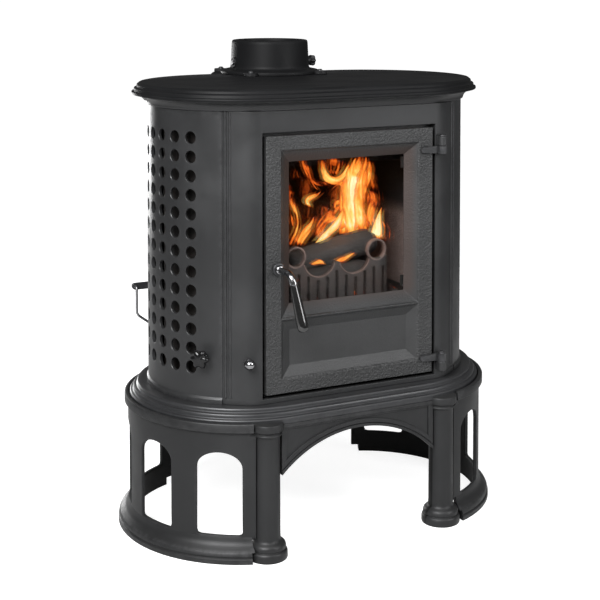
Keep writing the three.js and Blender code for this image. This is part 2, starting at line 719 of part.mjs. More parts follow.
function doorFrame() {
  const outline = rectangle(-doorHalfWidth, doorHalfWidth, doorBottom, doorTop, 2, 1);
  const leaf = frontal(outline, doorFront, doorBack);
  const padEdge = doorHalfWidth - padHalf;
  const pad = block(-padHalf, padHalf, doorBack - 1, padBack, doorBottom + padEdge, doorTop - padEdge);
  const windowBack = [-glassHalf, glassHalf, glassZ0, glassZ1];
  const bevelRun = windowBevel / windowDepth;
  const window = funnel(grown(windowBack, windowBevel + bevelRun), doorFront - 1,
    grown(windowBack, -bevelRun), padBack + 1);
  const panelBack = [-windowHalf + lowerPanelBevel, windowHalf - lowerPanelBevel,
    lowerPanelBottom + lowerPanelBevel, windowBevelBottom - lowerPanelBevel];
  const panelRun = lowerPanelBevel / lowerPanelDepth;
  const recess = funnel(grown(panelBack, lowerPanelBevel + panelRun), doorFront - 1, panelBack,
    doorFront + lowerPanelDepth);
  const spindleWay = bar(V(handleX, doorFront - 5, handleZ), V(handleX, padBack + 5, handleZ),
    handleSpindle + runningGap, 12);
  return cutAll(leaf.add(pad), [window, recess, spindleWay]);
}

function doorSeal() {
  const outer = throatHalf + 1 + sealWidth;
  const [z0, z1] = [doorBottom + doorHalfWidth - outer, doorTop - doorHalfWidth + outer];
  const ring = frontal(rectangle(-outer, outer, z0, z1, 6, 2), doorBack + gap, lipFront - gap);
  const inner = outer - sealWidth;
  return ring.subtract(block(-inner, inner, -farAway, 0, z0 + sealWidth, z1 - sealWidth));
}

function glassClip(side, z) {
  const [over, out] = [glassHalf + glassLap - 8, padHalf - 2];
  const clampY = padBack + gap + glassWall + gap;
  const [x0, x1] = side > 0 ? [over, out] : [-out, -over];
  const foot = side > 0 ? [glassHalf + glassLap + 1.5, out] : [-out, -glassHalf - glassLap - 1.5];
  return union([block(x0, x1, clampY, clampY + 2, z - 8, z + 8),
    block(foot[0], foot[1], padBack + gap, clampY + 1, z - 8, z + 8)]);
}

const axisY = -bodyRadius - hingeForward;

// The hinge half on the door: a tapered strap with a barrel round the pin, below a joint face.
function hingeStrap(jointZ, below) {
  const z0 = below ? jointZ - strapHeight - gap : jointZ + gap;
  const z1 = z0 + strapHeight;
  const middle = (z0 + z1) / 2;
  const tip = strapHeight / 2 - 1.5;
  const strap = frontal([[hingeX, z0], [hingeX, z1], [hingeX - strapReach + tip, middle + tip],
    ...arc(hingeX - strapReach + tip, middle, tip, 90, 270, 6), [hingeX - strapReach + tip, middle - tip]],
  doorFront - gap - strapWall, doorFront - gap);
  const barrel = bar(V(hingeX, axisY, z0), V(hingeX, axisY, z1), knuckleRadius, 16);
  const pinWay = bar(V(hingeX, axisY, z0 - 1), V(hingeX, axisY, z1 + 1), pinRadius + runningGap, 16);
  return union([strap, barrel]).subtract(pinWay);
}

// The hinge half on the front frame: a lug with a round nose.
function hingeLug(jointZ, above) {
  const [z0, z1] = above ? [jointZ, jointZ + knuckleHeight] : [jointZ - knuckleHeight, jointZ];
  const nose = bar(V(hingeX, axisY, z0), V(hingeX, axisY, z1), knuckleRadius, 16);
  const root = block(hingeX, frontFlat - 1, axisY - knuckleRadius + 3, -bodyRadius + 1, z0, z1);
  const bridge = block(hingeX - knuckleRadius + 1, hingeX + 1, axisY, -bodyRadius + 1, z0, z1);
  const pinWay = bar(V(hingeX, axisY, z0 - 1), V(hingeX, axisY, z1 + 1), pinRadius + gap, 16);
  return { body: union([nose, root, bridge]), pinWay };
}

function hingePin(foot, head) {
  const shaft = bar(V(hingeX, axisY, foot), V(hingeX, axisY, head), pinRadius, 16);
  const cap = turned([[0, 0], [pinRadius + 2.5, 0], [pinRadius + 2.5, 1.5], [pinRadius, 3.5], [0, 3.5]],
    V(hingeX, axisY, head), V(0, 0, 1), 12);
  return shaft.add(cap);
}

const lugs = [hingeLug(hingeUpperZ, true), hingeLug(hingeLowerZ, false)];
const frameWithLugs = cutAll(union([frontFrame(), ...lugs.map((lug) => lug.body)]),
  lugs.map((lug) => lug.pinWay));
place('front_frame', 'iron', frameWithLugs);
place('door_frame', 'iron', doorFrame());
place('door_glass', 'glass', block(-glassHalf - glassLap, glassHalf + glassLap, padBack + gap,
  padBack + gap + glassWall, glassZ0 - glassLap, glassZ1 + glassLap));
place('door_seal', 'rope', doorSeal());
for (const [side, word] of [[-1, 'left'], [1, 'right']]) {
  place(`glass_clip_${word}_low`, 'steel', glassClip(side, glassZ0 + 12));
  place(`glass_clip_${word}_high`, 'steel', glassClip(side, glassZ1 - 12));
}
place('hinge_strap_upper', 'iron', hingeStrap(hingeUpperZ, true));
place('hinge_strap_lower', 'iron', hingeStrap(hingeLowerZ, false));
place('hinge_pin_upper', 'steel', hingePin(hingeUpperZ - strapHeight, hingeUpperZ + knuckleHeight + gap));
place('hinge_pin_lower', 'steel', hingePin(hingeLowerZ - knuckleHeight, hingeLowerZ + strapHeight + 2 * gap));

// ---------------------------------------------------------------- door handle
function doorHandle() {
  const face = doorFront - gap;
  const elbow = V(handleX, face - handleForward, handleZ);
  const grip = V(handleX + 2, elbow.y - 3, handleZ - handleDrop);
  const lean = V(Math.tan(radians(gripLeanSide)), -Math.tan(radians(gripLeanOut)), -1).normalize();
  const path = new THREE.CatmullRomCurve3([V(handleX, face - 3, handleZ), V(handleX, elbow.y + 9, handleZ),
    V(handleX + 0.5, elbow.y, handleZ - 4), grip]);
  const round = new THREE.Shape().absarc(0, 0, handleStem, 0, 2 * Math.PI);
  const stem = solidOf(new THREE.ExtrudeGeometry(round, { extrudePath: path, steps: 9, curveSegments: 4 }));
  const boss = turned([[0, 0], [handleBoss, 0], [handleBoss, 3], [handleBoss - 2, 6], [handleStem, 8], [0, 8]],
    V(handleX, face, handleZ), V(0, -1, 0), 16);
  const spindle = bar(V(handleX, face - 2, handleZ), V(handleX, camY + camWall + 2, handleZ),
    handleSpindle, 12);
  const collar = turned([[0, -2], [gripTop, -2], [gripTop, 2], [0, 2]], grip, lean, 12);
  const gripFoot = grip.clone().addScaledVector(lean, 2 + gap);
  place('handle_stem', 'chrome', union([stem, boss, spindle, collar]));
  place('handle_grip', 'black', turned([[0, 0], [gripTop, 0], [gripTop + 0.6, 12],
    [gripBottom - 0.4, gripLength - 18], [gripBottom, gripLength - 8], [gripBottom - 2.5, gripLength - 2],
    [gripBottom - 5, gripLength], [0, gripLength]], gripFoot, lean, 16));
  const camFoot = handleZ - camLength;
  const cam = frontal([...arc(handleX, handleZ, camHub, 0, 180, 6), [handleX - camWidth / 2, camFoot],
    [handleX + camWidth / 2, camFoot]], camY, camY + camWall);
  const camWay = bar(V(handleX, camY - 1, handleZ), V(handleX, camY + camWall + 1, handleZ),
    handleSpindle + gap, 12);
  place('latch_cam', 'steel', cam.subtract(camWay));
}
doorHandle();

// ---------------------------------------------------------------- fire chamber
const hearthInner = jacketRadius - jacketWall - 4 * gap;
const hearthFoot = floorZ - floorWall;
const frontWall = lipBack + gap;
const rearWall = Math.sqrt((bodyRadius - bodyWall) ** 2 - (doorOpenHalf + lipWall - centreX) ** 2) - 2 * gap;

function hearthFloor() {
  const wing = doorOpenHalf + lipWall;
  const oval = ovalSweep([[hearthInner, hearthFoot], [hearthInner, floorZ]]);
  const middle = block(-wing, wing, frontWall, rearWall, hearthFoot, floorZ);
  const wellAt = (grow, z0) => block(-grateHalfX - grow, grateHalfX + grow, -grateHalfY - grow,
    grateHalfY + grow, z0, floorZ + 1);
  const seat = wellAt(gap, hearthFoot + 4);
  const throat = wellAt(-6, hearthFoot - 1);
  return cutAll(union([oval, middle]), [seat, throat]);
}

function grate() {
  const foot = hearthFoot + 4 + gap;
  const plate = block(-grateHalfX, grateHalfX, -grateHalfY, grateHalfY, foot, foot + grateWall);
  const rim = 8;
  const slotWidth = (2 * (grateHalfX - rim) - grateBars * grateBar) / (grateBars + 1);
  const slots = Array.from({ length: grateBars + 1 }, (_, k) => {
    const x = rim - grateHalfX + k * (slotWidth + grateBar);
    return block(x, x + slotWidth, rim - grateHalfY, grateHalfY - rim, foot - 1, foot + grateWall + 1);
  });
  return cutAll(plate, slots);
}

// The log guard: a slotted plate with a scalloped top edge and a ring on each shoulder.
function logGuard() {
  const foot = floorZ + gap;
  const [front, back] = [-guardY, guardWall - guardY];
  const round = (side, radius, y0, y1) => frontal(
    arc(side * guardRingX, guardRingZ, radius, 0, 345, 15), y0, y1);
  const dipZ = guardTop + guardScallop * 0.55;
  const dip = (x) => arc(x, dipZ, guardScallop, -25, -155, 6);
  const shoulder = guardRing / 2;
  const neckZ = guardRingZ - guardRing * 0.6;
  const edge = (side) => [[side * guardHalf, foot], [side * guardHalf, guardTop],
    [side * (guardRingX + shoulder), neckZ], [side * (guardRingX - shoulder), neckZ]];
  const plate = frontal([...edge(1), ...dip(guardScallop * 1.2), ...dip(-guardScallop * 1.2),
    ...edge(-1).reverse()], front, back);
  const pitch = 2 * (guardHalf - guardSlotWidth) / guardSlots;
  const half = guardSlotWidth / 2;
  const slots = Array.from({ length: guardSlots }, (_, k) => {
    const x = (k - (guardSlots - 1) / 2) * pitch;
    return frontal([[x - half, foot + guardSlotWidth], [x + half, foot + guardSlotWidth],
      ...arc(x, guardSlotTop, half, 0, 180, 3)], front - 1, back + 1);
  });
  const bores = [1, -1].map((side) => round(side, guardRingBore, front - 1, back + 1));
  const ear = block(guardHalf - guardEar, guardHalf, back - 1, back + 2 * guardWall, foot, foot + guardEar);
  const rings = [1, -1].map((side) => round(side, guardRing, front, back));
  return cutAll(union([plate, ...rings, ear, mirrored(ear)]), [...slots, ...bores]);
}

const brickFoot = floorZ + gap;
const sideBrickX = centreX + sideBrickRun;
const brickCorner = sideBrickX + brickWall - centreX;
const sideBrickY = Math.sqrt((jacketRadius - jacketWall) ** 2 - brickCorner ** 2) - 3.7;
const backBrickHalf = doorOpenHalf - 0.5;
const baffleFront = baffleSetBack - bodyRadius;
const baffleFoot = brickTop + gap;

function baffle() {
  const half = sideBrickX + brickWall - 8;
  const top = baffleFoot + baffleWall;
  const wide = block(-half, half, baffleFront, sideBrickY, baffleFoot, top);
  const deep = block(-backBrickHalf, backBrickHalf, baffleFront, rearWall, baffleFoot, top);
  return wide.add(deep);
}

function ashPan() {
  const foot = baseTop + gap;
  const front = frontWall + 4;
  const rear = front + 2 * panHalfY;
  const box = block(-panHalfX, panHalfX, front, rear, foot, foot + panHeight);
  const inside = block(panWall - panHalfX, panHalfX - panWall, front + panWall, rear - panWall, foot + panWall,
    foot + panHeight + 1);
  const lip = block(-25, 25, front - 3.5, front + 1, foot + panHeight - 4, foot + panHeight - 1);
  return union([box.subtract(inside), lip]);
}

// The fire wall with the shelf that the hearth floor lies on.
function fireWall() {
  const [shelfTop, shelfInner] = [hearthFoot - gap, hearthInner - shelfDepth];
  const root = jacketRadius - jacketWall / 2;
  const ledge = [[root, shelfTop - shelfDepth - 6], [shelfInner, shelfTop - 4], [shelfInner, shelfTop],
    [root, shelfTop]];
  const shelf = ovalSweep(ledge, true).intersect(endSector(1, -shelfAngle, shelfAngle, 0, farAway));
  return jacket().add(shelf);
}

const wall = fireWall();
const ports = [-1, 1].map((way) => outFrom(airAngle, bar(V(jacketRadius - 20, way * airPortReach, airZ),
  V(jacketRadius + 9, way * airPortReach, airZ), airPort, 10)));
const rodWay = bar(V(rodX, -farAway, rodZ), V(rodX, 0, rodZ), rodRadius + runningGap, 10);
place('fire_wall_right', 'ironInside', wall);
const wallWays = [airWay(jacketRadius - 20, jacketRadius + 9), rodWay, ...ports];
place('fire_wall_left', 'ironInside', cutAll(mirrored(wall), wallWays));
place('hearth_floor', 'ironInside', hearthFloor());
place('grate', 'ironInside', grate());
place('log_guard', 'ironInside', logGuard());
const sideBrick = block(sideBrickX, sideBrickX + brickWall, -sideBrickY, sideBrickY, brickFoot, brickTop);
const backBrick = block(-backBrickHalf, backBrickHalf, rearWall - brickWall, rearWall, brickFoot, brickTop);
place('brick_left', 'brick', mirrored(sideBrick));
place('brick_right', 'brick', sideBrick);
place('brick_back', 'brick', backBrick);
place('baffle', 'brick', baffle());
place('ash_pan', 'steel', ashPan());

// ---------------------------------------------------------------- air control
// A disc with two windows that turns in front of two ports in the left fire wall.
function airControl() {
  const discFoot = jacketRadius + gap;
  const spindleEnd = bodyRadius + airKnobGap + airKnobLength / 2;
  const windows = [-1, 1].map((way) => bar(V(discFoot - 1, 0, airZ + way * airPortReach),
    V(discFoot + airDiscWall + 1, 0, airZ + way * airPortReach), airPort, 10));
  const way = bar(V(discFoot - 1, 0, airZ), V(discFoot + airDiscWall + 1, 0, airZ), airSpindle + gap, 8);
  const disc = bar(V(discFoot, 0, airZ), V(discFoot + airDiscWall, 0, airZ), airDiscRadius, 20);
  const spindle = bar(V(jacketRadius - jacketWall - 3, 0, airZ), V(spindleEnd, 0, airZ), airSpindle, 10);
  place('air_spindle', 'steel', outFrom(airAngle, spindle));
  place('air_disc', 'ironInside', outFrom(airAngle, cutAll(disc, [...windows, way])));
  place('air_knob', 'iron', outFrom(airAngle, starKnob(V(bodyRadius + airKnobGap, 0, airZ), V(1, 0, 0),
    airKnobRadius, airKnobLength, airSpindle + gap)));
}
airControl();

// ---------------------------------------------------------------- riddling rod
// The rod runs under the hearth floor. Its arm carries a toothed bar below the grate.
function riddlingRod() {
  const front = V(rodX, rodKnobY + rodKnobRadius / 2, rodZ);
  const [y0, y1] = [rakeY - rakeWall / 2, rakeY + rakeWall / 2];
  const armHalf = rakeWall / 2;
  const pitch = 2 * (grateHalfX - 2 * rakeWall) / (rakeTeeth - 1);
  const beam = block(rodX + armHalf + gap, grateHalfX - 1.5 * rakeWall, y0, y1, rakeTop - rakeWall, rakeTop);
  const teeth = Array.from({ length: rakeTeeth }, (_, k) => {
    const x = (k - (rakeTeeth - 1) / 2) * pitch;
    return block(x - 2, x + 2, rakeY - 2, rakeY + 2, rakeTop - 1, rakeTop + rakeTooth);
  });
  place('riddling_rod', 'steel', bar(front, V(rodX, y0 - gap, rodZ), rodRadius, 12));
  const arm = block(rodX - armHalf, rodX + armHalf, y0, y1, rodZ - rodRadius, rakeTop);
  place('riddling_arm', 'ironInside', arm);
  place('riddling_rake', 'ironInside', union([beam, ...teeth]));
  const knobFoot = rodKnobY + rodKnobRadius;
  const knob = turned([[0, 0], [rodKnobRadius - 1, 0], [rodKnobRadius, 2], [rodKnobRadius, 5],
    [rodKnobRadius - 0.8, 8], [rodKnobRadius - 3, 10.5], [0, 12]], V(rodX, knobFoot, rodZ), V(0, -1, 0), 16);
  const bore = bar(V(rodX, knobFoot + 1, rodZ), V(rodX, front.y - gap, rodZ), rodRadius + gap, 10);
  place('riddling_knob', 'chrome', knob.subtract(bore));
}
riddlingRod();

// ---------------------------------------------------------------- tool hanger
// A bracket on the rear of the left end: a flat foot on the facet and a bar that leaves it toward the
// left, with a wire hook that hangs from the eye of the bar.
function toolHanger() {
  const seat = bodyRadius * Math.cos(radians(facetAngle / 2)) + gap;
  const half = linkBarHeight / 2;
  const eyeX = linkReach - half;
  const foot = block(seat, seat + linkFoot, -linkFootHalf, linkFootHalf, linkZ - half - 4, linkZ + half + 4);
  const toLeft = (solid) => solid.rotate([0, 0, -linkAngle]).translate([seat + linkFoot / 2, 0, linkZ]);
  const side = [[0, -half], [eyeX, -half], ...arc(eyeX, 0, half, -60, 60, 4), [eyeX, half], [0, half]];
  const arm = frontal(side, -linkBarWall / 2, linkBarWall / 2);
  const eye = bar(V(eyeX, -farAway, 0), V(eyeX, farAway, 0), linkWire + 2 * runningGap, 12);
  place('hanger_bracket', 'iron', outFrom(linkAngle, union([foot, toLeft(arm.subtract(eye))])));
  const front = linkBarWall / 2 + 5;
  const path = new THREE.CatmullRomCurve3([V(eyeX, -front - 4, 0), V(eyeX, front - 3, 0), V(eyeX, front, -4),
    V(eyeX, front, 6 - linkDrop), V(eyeX - 3, front, -1 - linkDrop),
    V(eyeX - linkToe, front, -0.75 * linkToe - linkDrop)]
    .flatMap((point, k, all) => (k === 0 ? [point] : [all[k - 1].clone().lerp(point, 0.5), point])));
  const round = new THREE.Shape().absarc(0, 0, linkWire, 0, 2 * Math.PI);
  const wire = solidOf(new THREE.ExtrudeGeometry(round, { extrudePath: path, steps: 14, curveSegments: 3 }));
  place('hanger_hook', 'steel', outFrom(linkAngle, toLeft(wire)));
}
toolHanger();

// The origin goes to the middle of the outline, on the floor.
const bounds = new THREE.Box3().setFromObject(stove);
stove.position.y = -(bounds.min.y + bounds.max.y) / 2;

export default stove;
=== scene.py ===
"""Looks of a small oval cast-iron wood stove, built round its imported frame.

Sizes are in millimetres in the stove's own drawing frame: X to the right, the door towards
-Y, Z up from the floor. Draft.build turns them into metres and into the frame's origin.
"""
import logging
import math
import random
from collections.abc import Callable, Sequence
from dataclasses import dataclass, field
from enum import Enum

import bmesh
import bpy
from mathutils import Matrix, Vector
from mathutils.geometry import tessellate_polygon


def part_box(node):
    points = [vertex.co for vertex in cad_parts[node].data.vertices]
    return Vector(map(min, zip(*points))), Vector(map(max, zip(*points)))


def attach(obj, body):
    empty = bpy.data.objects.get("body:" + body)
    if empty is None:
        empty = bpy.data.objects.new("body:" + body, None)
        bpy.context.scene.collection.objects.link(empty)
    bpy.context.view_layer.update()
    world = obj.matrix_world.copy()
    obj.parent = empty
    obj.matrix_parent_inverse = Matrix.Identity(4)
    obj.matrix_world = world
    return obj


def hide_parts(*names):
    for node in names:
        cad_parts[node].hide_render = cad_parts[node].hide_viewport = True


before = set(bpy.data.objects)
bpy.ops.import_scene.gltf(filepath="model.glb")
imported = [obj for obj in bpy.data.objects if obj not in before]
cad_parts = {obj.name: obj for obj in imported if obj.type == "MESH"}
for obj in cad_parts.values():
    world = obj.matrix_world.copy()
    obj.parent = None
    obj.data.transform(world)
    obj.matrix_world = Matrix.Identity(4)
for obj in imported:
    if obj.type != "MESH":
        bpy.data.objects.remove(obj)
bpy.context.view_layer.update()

LOG = logging.getLogger("stove")
Point = tuple[float, float, float]
Plan = tuple[float, float]
Colour = tuple[float, float, float]
MM = 0.001
END_CENTRE = 105.0    # from the stove's middle to the middle of each round end
FLUE_Y = 135.0    # the flue's axis, behind the stove's middle
ORIGIN_SHIFT = (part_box("base_plate")[0].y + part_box("base_plate")[1].y) / (2 * MM)
UP = Vector((0, 0, 1))
FORWARD = Vector((0, -1, 0))


class Side(Enum):
    """The two round ends, as seen by someone who faces the door."""

    RIGHT = 1
    LEFT = -1

    @property
    def word(self) -> str:
        """The side's word in the names of pieces."""
        return self.name.lower()


class Slot(Enum):
    """The record's material slots that each drawn piece names; nothing reads them."""

    IRON = "iron"
    INNER = "inner_iron"
    STEEL = "steel"
    CHROME = "chrome"
    GRIP = "grip"
    BRICK = "brick"


# ------------------------------------------------------------------ shader wiring
Socket = bpy.types.NodeSocket


@dataclass
class Wiring:
    """Short ways to place and join the nodes of one tree."""

    tree: bpy.types.NodeTree

    def add(self, kind: str, **settings: object) -> bpy.types.Node:
        """Places a node and sets its own properties."""
        node = self.tree.nodes.new(kind)
        for name, value in settings.items():
            setattr(node, name, value)
        return node

    def feed(self, node: bpy.types.Node, name: str | int, value: object) -> None:
        """Joins a socket to an input, or writes a constant on it."""
        if isinstance(value, Socket):
            self.tree.links.new(value, node.inputs[name])
        else:
            node.inputs[name].default_value = value

    def math(self, operation: str, first: object, second: object = 0.0, clamp: bool = False) -> Socket:
        """A Math node's result."""
        node = self.add("ShaderNodeMath", operation=operation, use_clamp=clamp)
        self.feed(node, 0, first)
        self.feed(node, 1, second)
        return node.outputs[0]

    def times(self, first: object, second: object, clamp: bool = False) -> Socket:
        """A product."""
        return self.math("MULTIPLY", first, second, clamp)

    def axes(self, vector: Socket) -> bpy.types.NodeOutputs:
        """A vector's parts X, Y and Z."""
        node = self.add("ShaderNodeSeparateXYZ")
        self.feed(node, 0, vector)
        return node.outputs

    def remap(self, value: object, low: float, high: float, to_low: float = 0.0,
              to_high: float = 1.0) -> Socket:
        """A clamped, smooth change of range."""
        node = self.add("ShaderNodeMapRange", interpolation_type="SMOOTHSTEP")
        for name, number in (("From Min", low), ("From Max", high), ("To Min", to_low), ("To Max", to_high)):
            self.feed(node, name, number)
        self.feed(node, "Value", value)
        return node.outputs["Result"]

    def noise(self, place: Socket, scale: object, detail: float = 4.0, rough: float = 0.55,
              distortion: float = 0.0) -> Socket:
        """A noise value from 0 to 1."""
        node = self.add("ShaderNodeTexNoise")
        self.feed(node, "Vector", place)
        values = {"Scale": scale, "Detail": detail, "Roughness": rough, "Distortion": distortion}
        for name, value in values.items():
            self.feed(node, name, value)
        return node.outputs["Fac"]

    def mix(self, amount: Socket, first: Socket | Colour, second: Colour) -> Socket:
        """A blend from a colour to another one."""
        node = self.add("ShaderNodeMix", data_type="RGBA")
        self.feed(node, 0, amount)
        self.feed(node, 6, first if isinstance(first, Socket) else (*first, 1.0))
        self.feed(node, 7, (*second, 1.0))
        return node.outputs[2]

    def place(self) -> Socket:
        """The point's place in the drawing frame, in metres."""
        return self.add("ShaderNodeTexCoord").outputs["Object"]

    def stretched(self, x: float, y: float, z: float) -> Socket:
        """The point's place, stretched along its axes."""
        node = self.add("ShaderNodeMapping")
        self.feed(node, "Vector", self.place())
        self.feed(node, "Scale", (x, y, z))
        return node.outputs["Vector"]

    def ramp(self, value: Socket, stops: Sequence[tuple[float, Colour]]) -> Socket:
        """A colour ramp's colour."""
        node = self.add("ShaderNodeValToRGB")
        elements = node.color_ramp.elements
        while len(elements) < len(stops):
            elements.new(0.5)
        for element, (position, colour) in zip(elements, stops):
            element.position = position
            element.color = (*colour, 1.0)
        self.feed(node, "Fac", value)
        return node.outputs["Color"]


def shader_group(name: str, inputs: dict[str, float],
                 outputs: Sequence[str]) -> tuple[Wiring, bpy.types.Node, bpy.types.Node]:
    """Starts a shared shader node group.

    Args:
        name: The group's name.
        inputs: Named numbers that each material sets.
        outputs: Names of the values that it puts out.
    Returns:
        The group's wiring, its input node and its output node.
    """
    tree = bpy.data.node_groups.new(name, "ShaderNodeTree")
    for label, value in inputs.items():
        socket = tree.interface.new_socket(name=label, in_out="INPUT", socket_type="NodeSocketFloat")
        socket.default_value = value
    for label in outputs:
        tree.interface.new_socket(name=label, in_out="OUTPUT", socket_type="NodeSocketFloat")
    wiring = Wiring(tree)
    return wiring, wiring.add("NodeGroupInput"), wiring.add("NodeGroupOutput")


class SharedEffects:
    """The node groups that several materials use."""

    def __init__(self) -> None:
        """Builds each group once."""
        self.cast_grain = self._cast_grain()
        self.edge_wear = self._edge_wear()
        self.settled_dust = self._settled_dust()
        self.soot = self._soot()

    @staticmethod
    def _cast_grain() -> bpy.types.NodeTree:
        """Sand-cast skin: fine grain, slow waves and a mottle."""
        w, given, out = shader_group("cast_grain", {"Scale": 900.0, "Coarse": 0.3}, ("Height", "Mottle"))
        place = w.place()
        fine = w.noise(place, given.outputs["Scale"], 6.0, 0.7)
        coarse = w.times(w.noise(place, 34.0, 3.0), given.outputs["Coarse"])
        w.feed(out, "Height", w.math("ADD", w.times(fine, 0.5), coarse))
        w.feed(out, "Mottle", w.remap(w.noise(place, 11.0, 5.0), 0.3, 0.72))
        return w.tree

    @staticmethod
    def _edge_wear() -> bpy.types.NodeTree:
        """Where a raised edge is rubbed bare."""
        w, given, out = shader_group("edge_wear", {"Amount": 0.5}, ("Mask",))
        edge = w.remap(w.add("ShaderNodeNewGeometry").outputs["Pointiness"], 0.515, 0.6)
        patchy = w.remap(w.noise(w.place(), 90.0, 6.0, 0.7), 0.35, 0.7)
        w.feed(out, "Mask", w.times(w.times(edge, patchy), given.outputs["Amount"], clamp=True))
        return w.tree

    @staticmethod
    def _settled_dust() -> bpy.types.NodeTree:
        """A thin film on faces that look up."""
        w, given, out = shader_group("settled_dust", {"Amount": 0.3}, ("Mask",))
        normal = w.axes(w.add("ShaderNodeNewGeometry").outputs["Normal"])
        film = w.remap(w.noise(w.place(), 26.0, 6.0, 0.65), 0.3, 0.8)
        lies = w.times(w.remap(normal["Z"], 0.55, 0.98), film)
        w.feed(out, "Mask", w.times(lies, given.outputs["Amount"], clamp=True))
        return w.tree

    @staticmethod
    def _soot() -> bpy.types.NodeTree:
        """Uneven soot and ash on what the fire touches."""
        w, given, out = shader_group("soot", {"Amount": 0.6, "Scale": 30.0}, ("Mask", "Height"))
        cloud = w.noise(w.place(), given.outputs["Scale"], 7.0, 0.68)
        w.feed(out, "Mask", w.times(w.remap(cloud, 0.32, 0.66), given.outputs["Amount"], clamp=True))
        w.feed(out, "Height", cloud)
        return w.tree


# ------------------------------------------------------------------ finishes
def plain(shader: bpy.types.Node, **values: float | Colour) -> None:
    """Sets what is the same all over a surface, such as base_color or roughness."""
    for name, value in values.items():
        words = name.replace("_", " ").title().replace("Ior", "IOR")
        shader.inputs[words].default_value = (*value, 1.0) if isinstance(value, tuple) else value


def group_node(w: Wiring, tree: bpy.types.NodeTree, **values: float) -> bpy.types.NodeOutputs:
    """Places a shared group with its own values and returns what it puts out."""
    node = w.add("ShaderNodeGroup", node_tree=tree)
    for name, value in values.items():
        w.feed(node, name.title(), value)
    return node.outputs


def bump(w: Wiring, shader: bpy.types.Node, height: Socket, strength: float, distance: float,
         over: Socket | None = None) -> Socket:
    """Adds a Bump node in front of the shader's normal.

    Args:
        w: The material's wiring.
        shader: The shader that takes the normal.
        height: What stands proud.
        strength: How strongly, from 0 to 1.
        distance: Height of the relief in metres.
        over: The normal of another relief under this one.
    Returns:
        The new normal.
    """
    node = w.add("ShaderNodeBump")
    w.feed(node, "Height", height)
    w.feed(node, "Strength", strength)
    w.feed(node, "Distance", distance)
    if over is not None:
        w.feed(node, "Normal", over)
    w.feed(shader, "Normal", node.outputs["Normal"])
    return node.outputs["Normal"]


@dataclass(frozen=True)
class Finish:
    """A named finish, which wires itself into a new material's Principled shader."""

    name: str

    def make(self, effects: SharedEffects) -> bpy.types.Material:
        """Builds the material.

        Args:
            effects: The shared node groups.
        Returns:
            The finished material.
        """
        material = bpy.data.materials.new(self.name)
        material.use_nodes = True
        self.wire(Wiring(material.node_tree), material.node_tree.nodes["Principled BSDF"], effects)
        return material

    def wire(self, w: Wiring, shader: bpy.types.Node, effects: SharedEffects) -> None:
        """Wires the finish; every kind of finish has its own way."""
        raise NotImplementedError


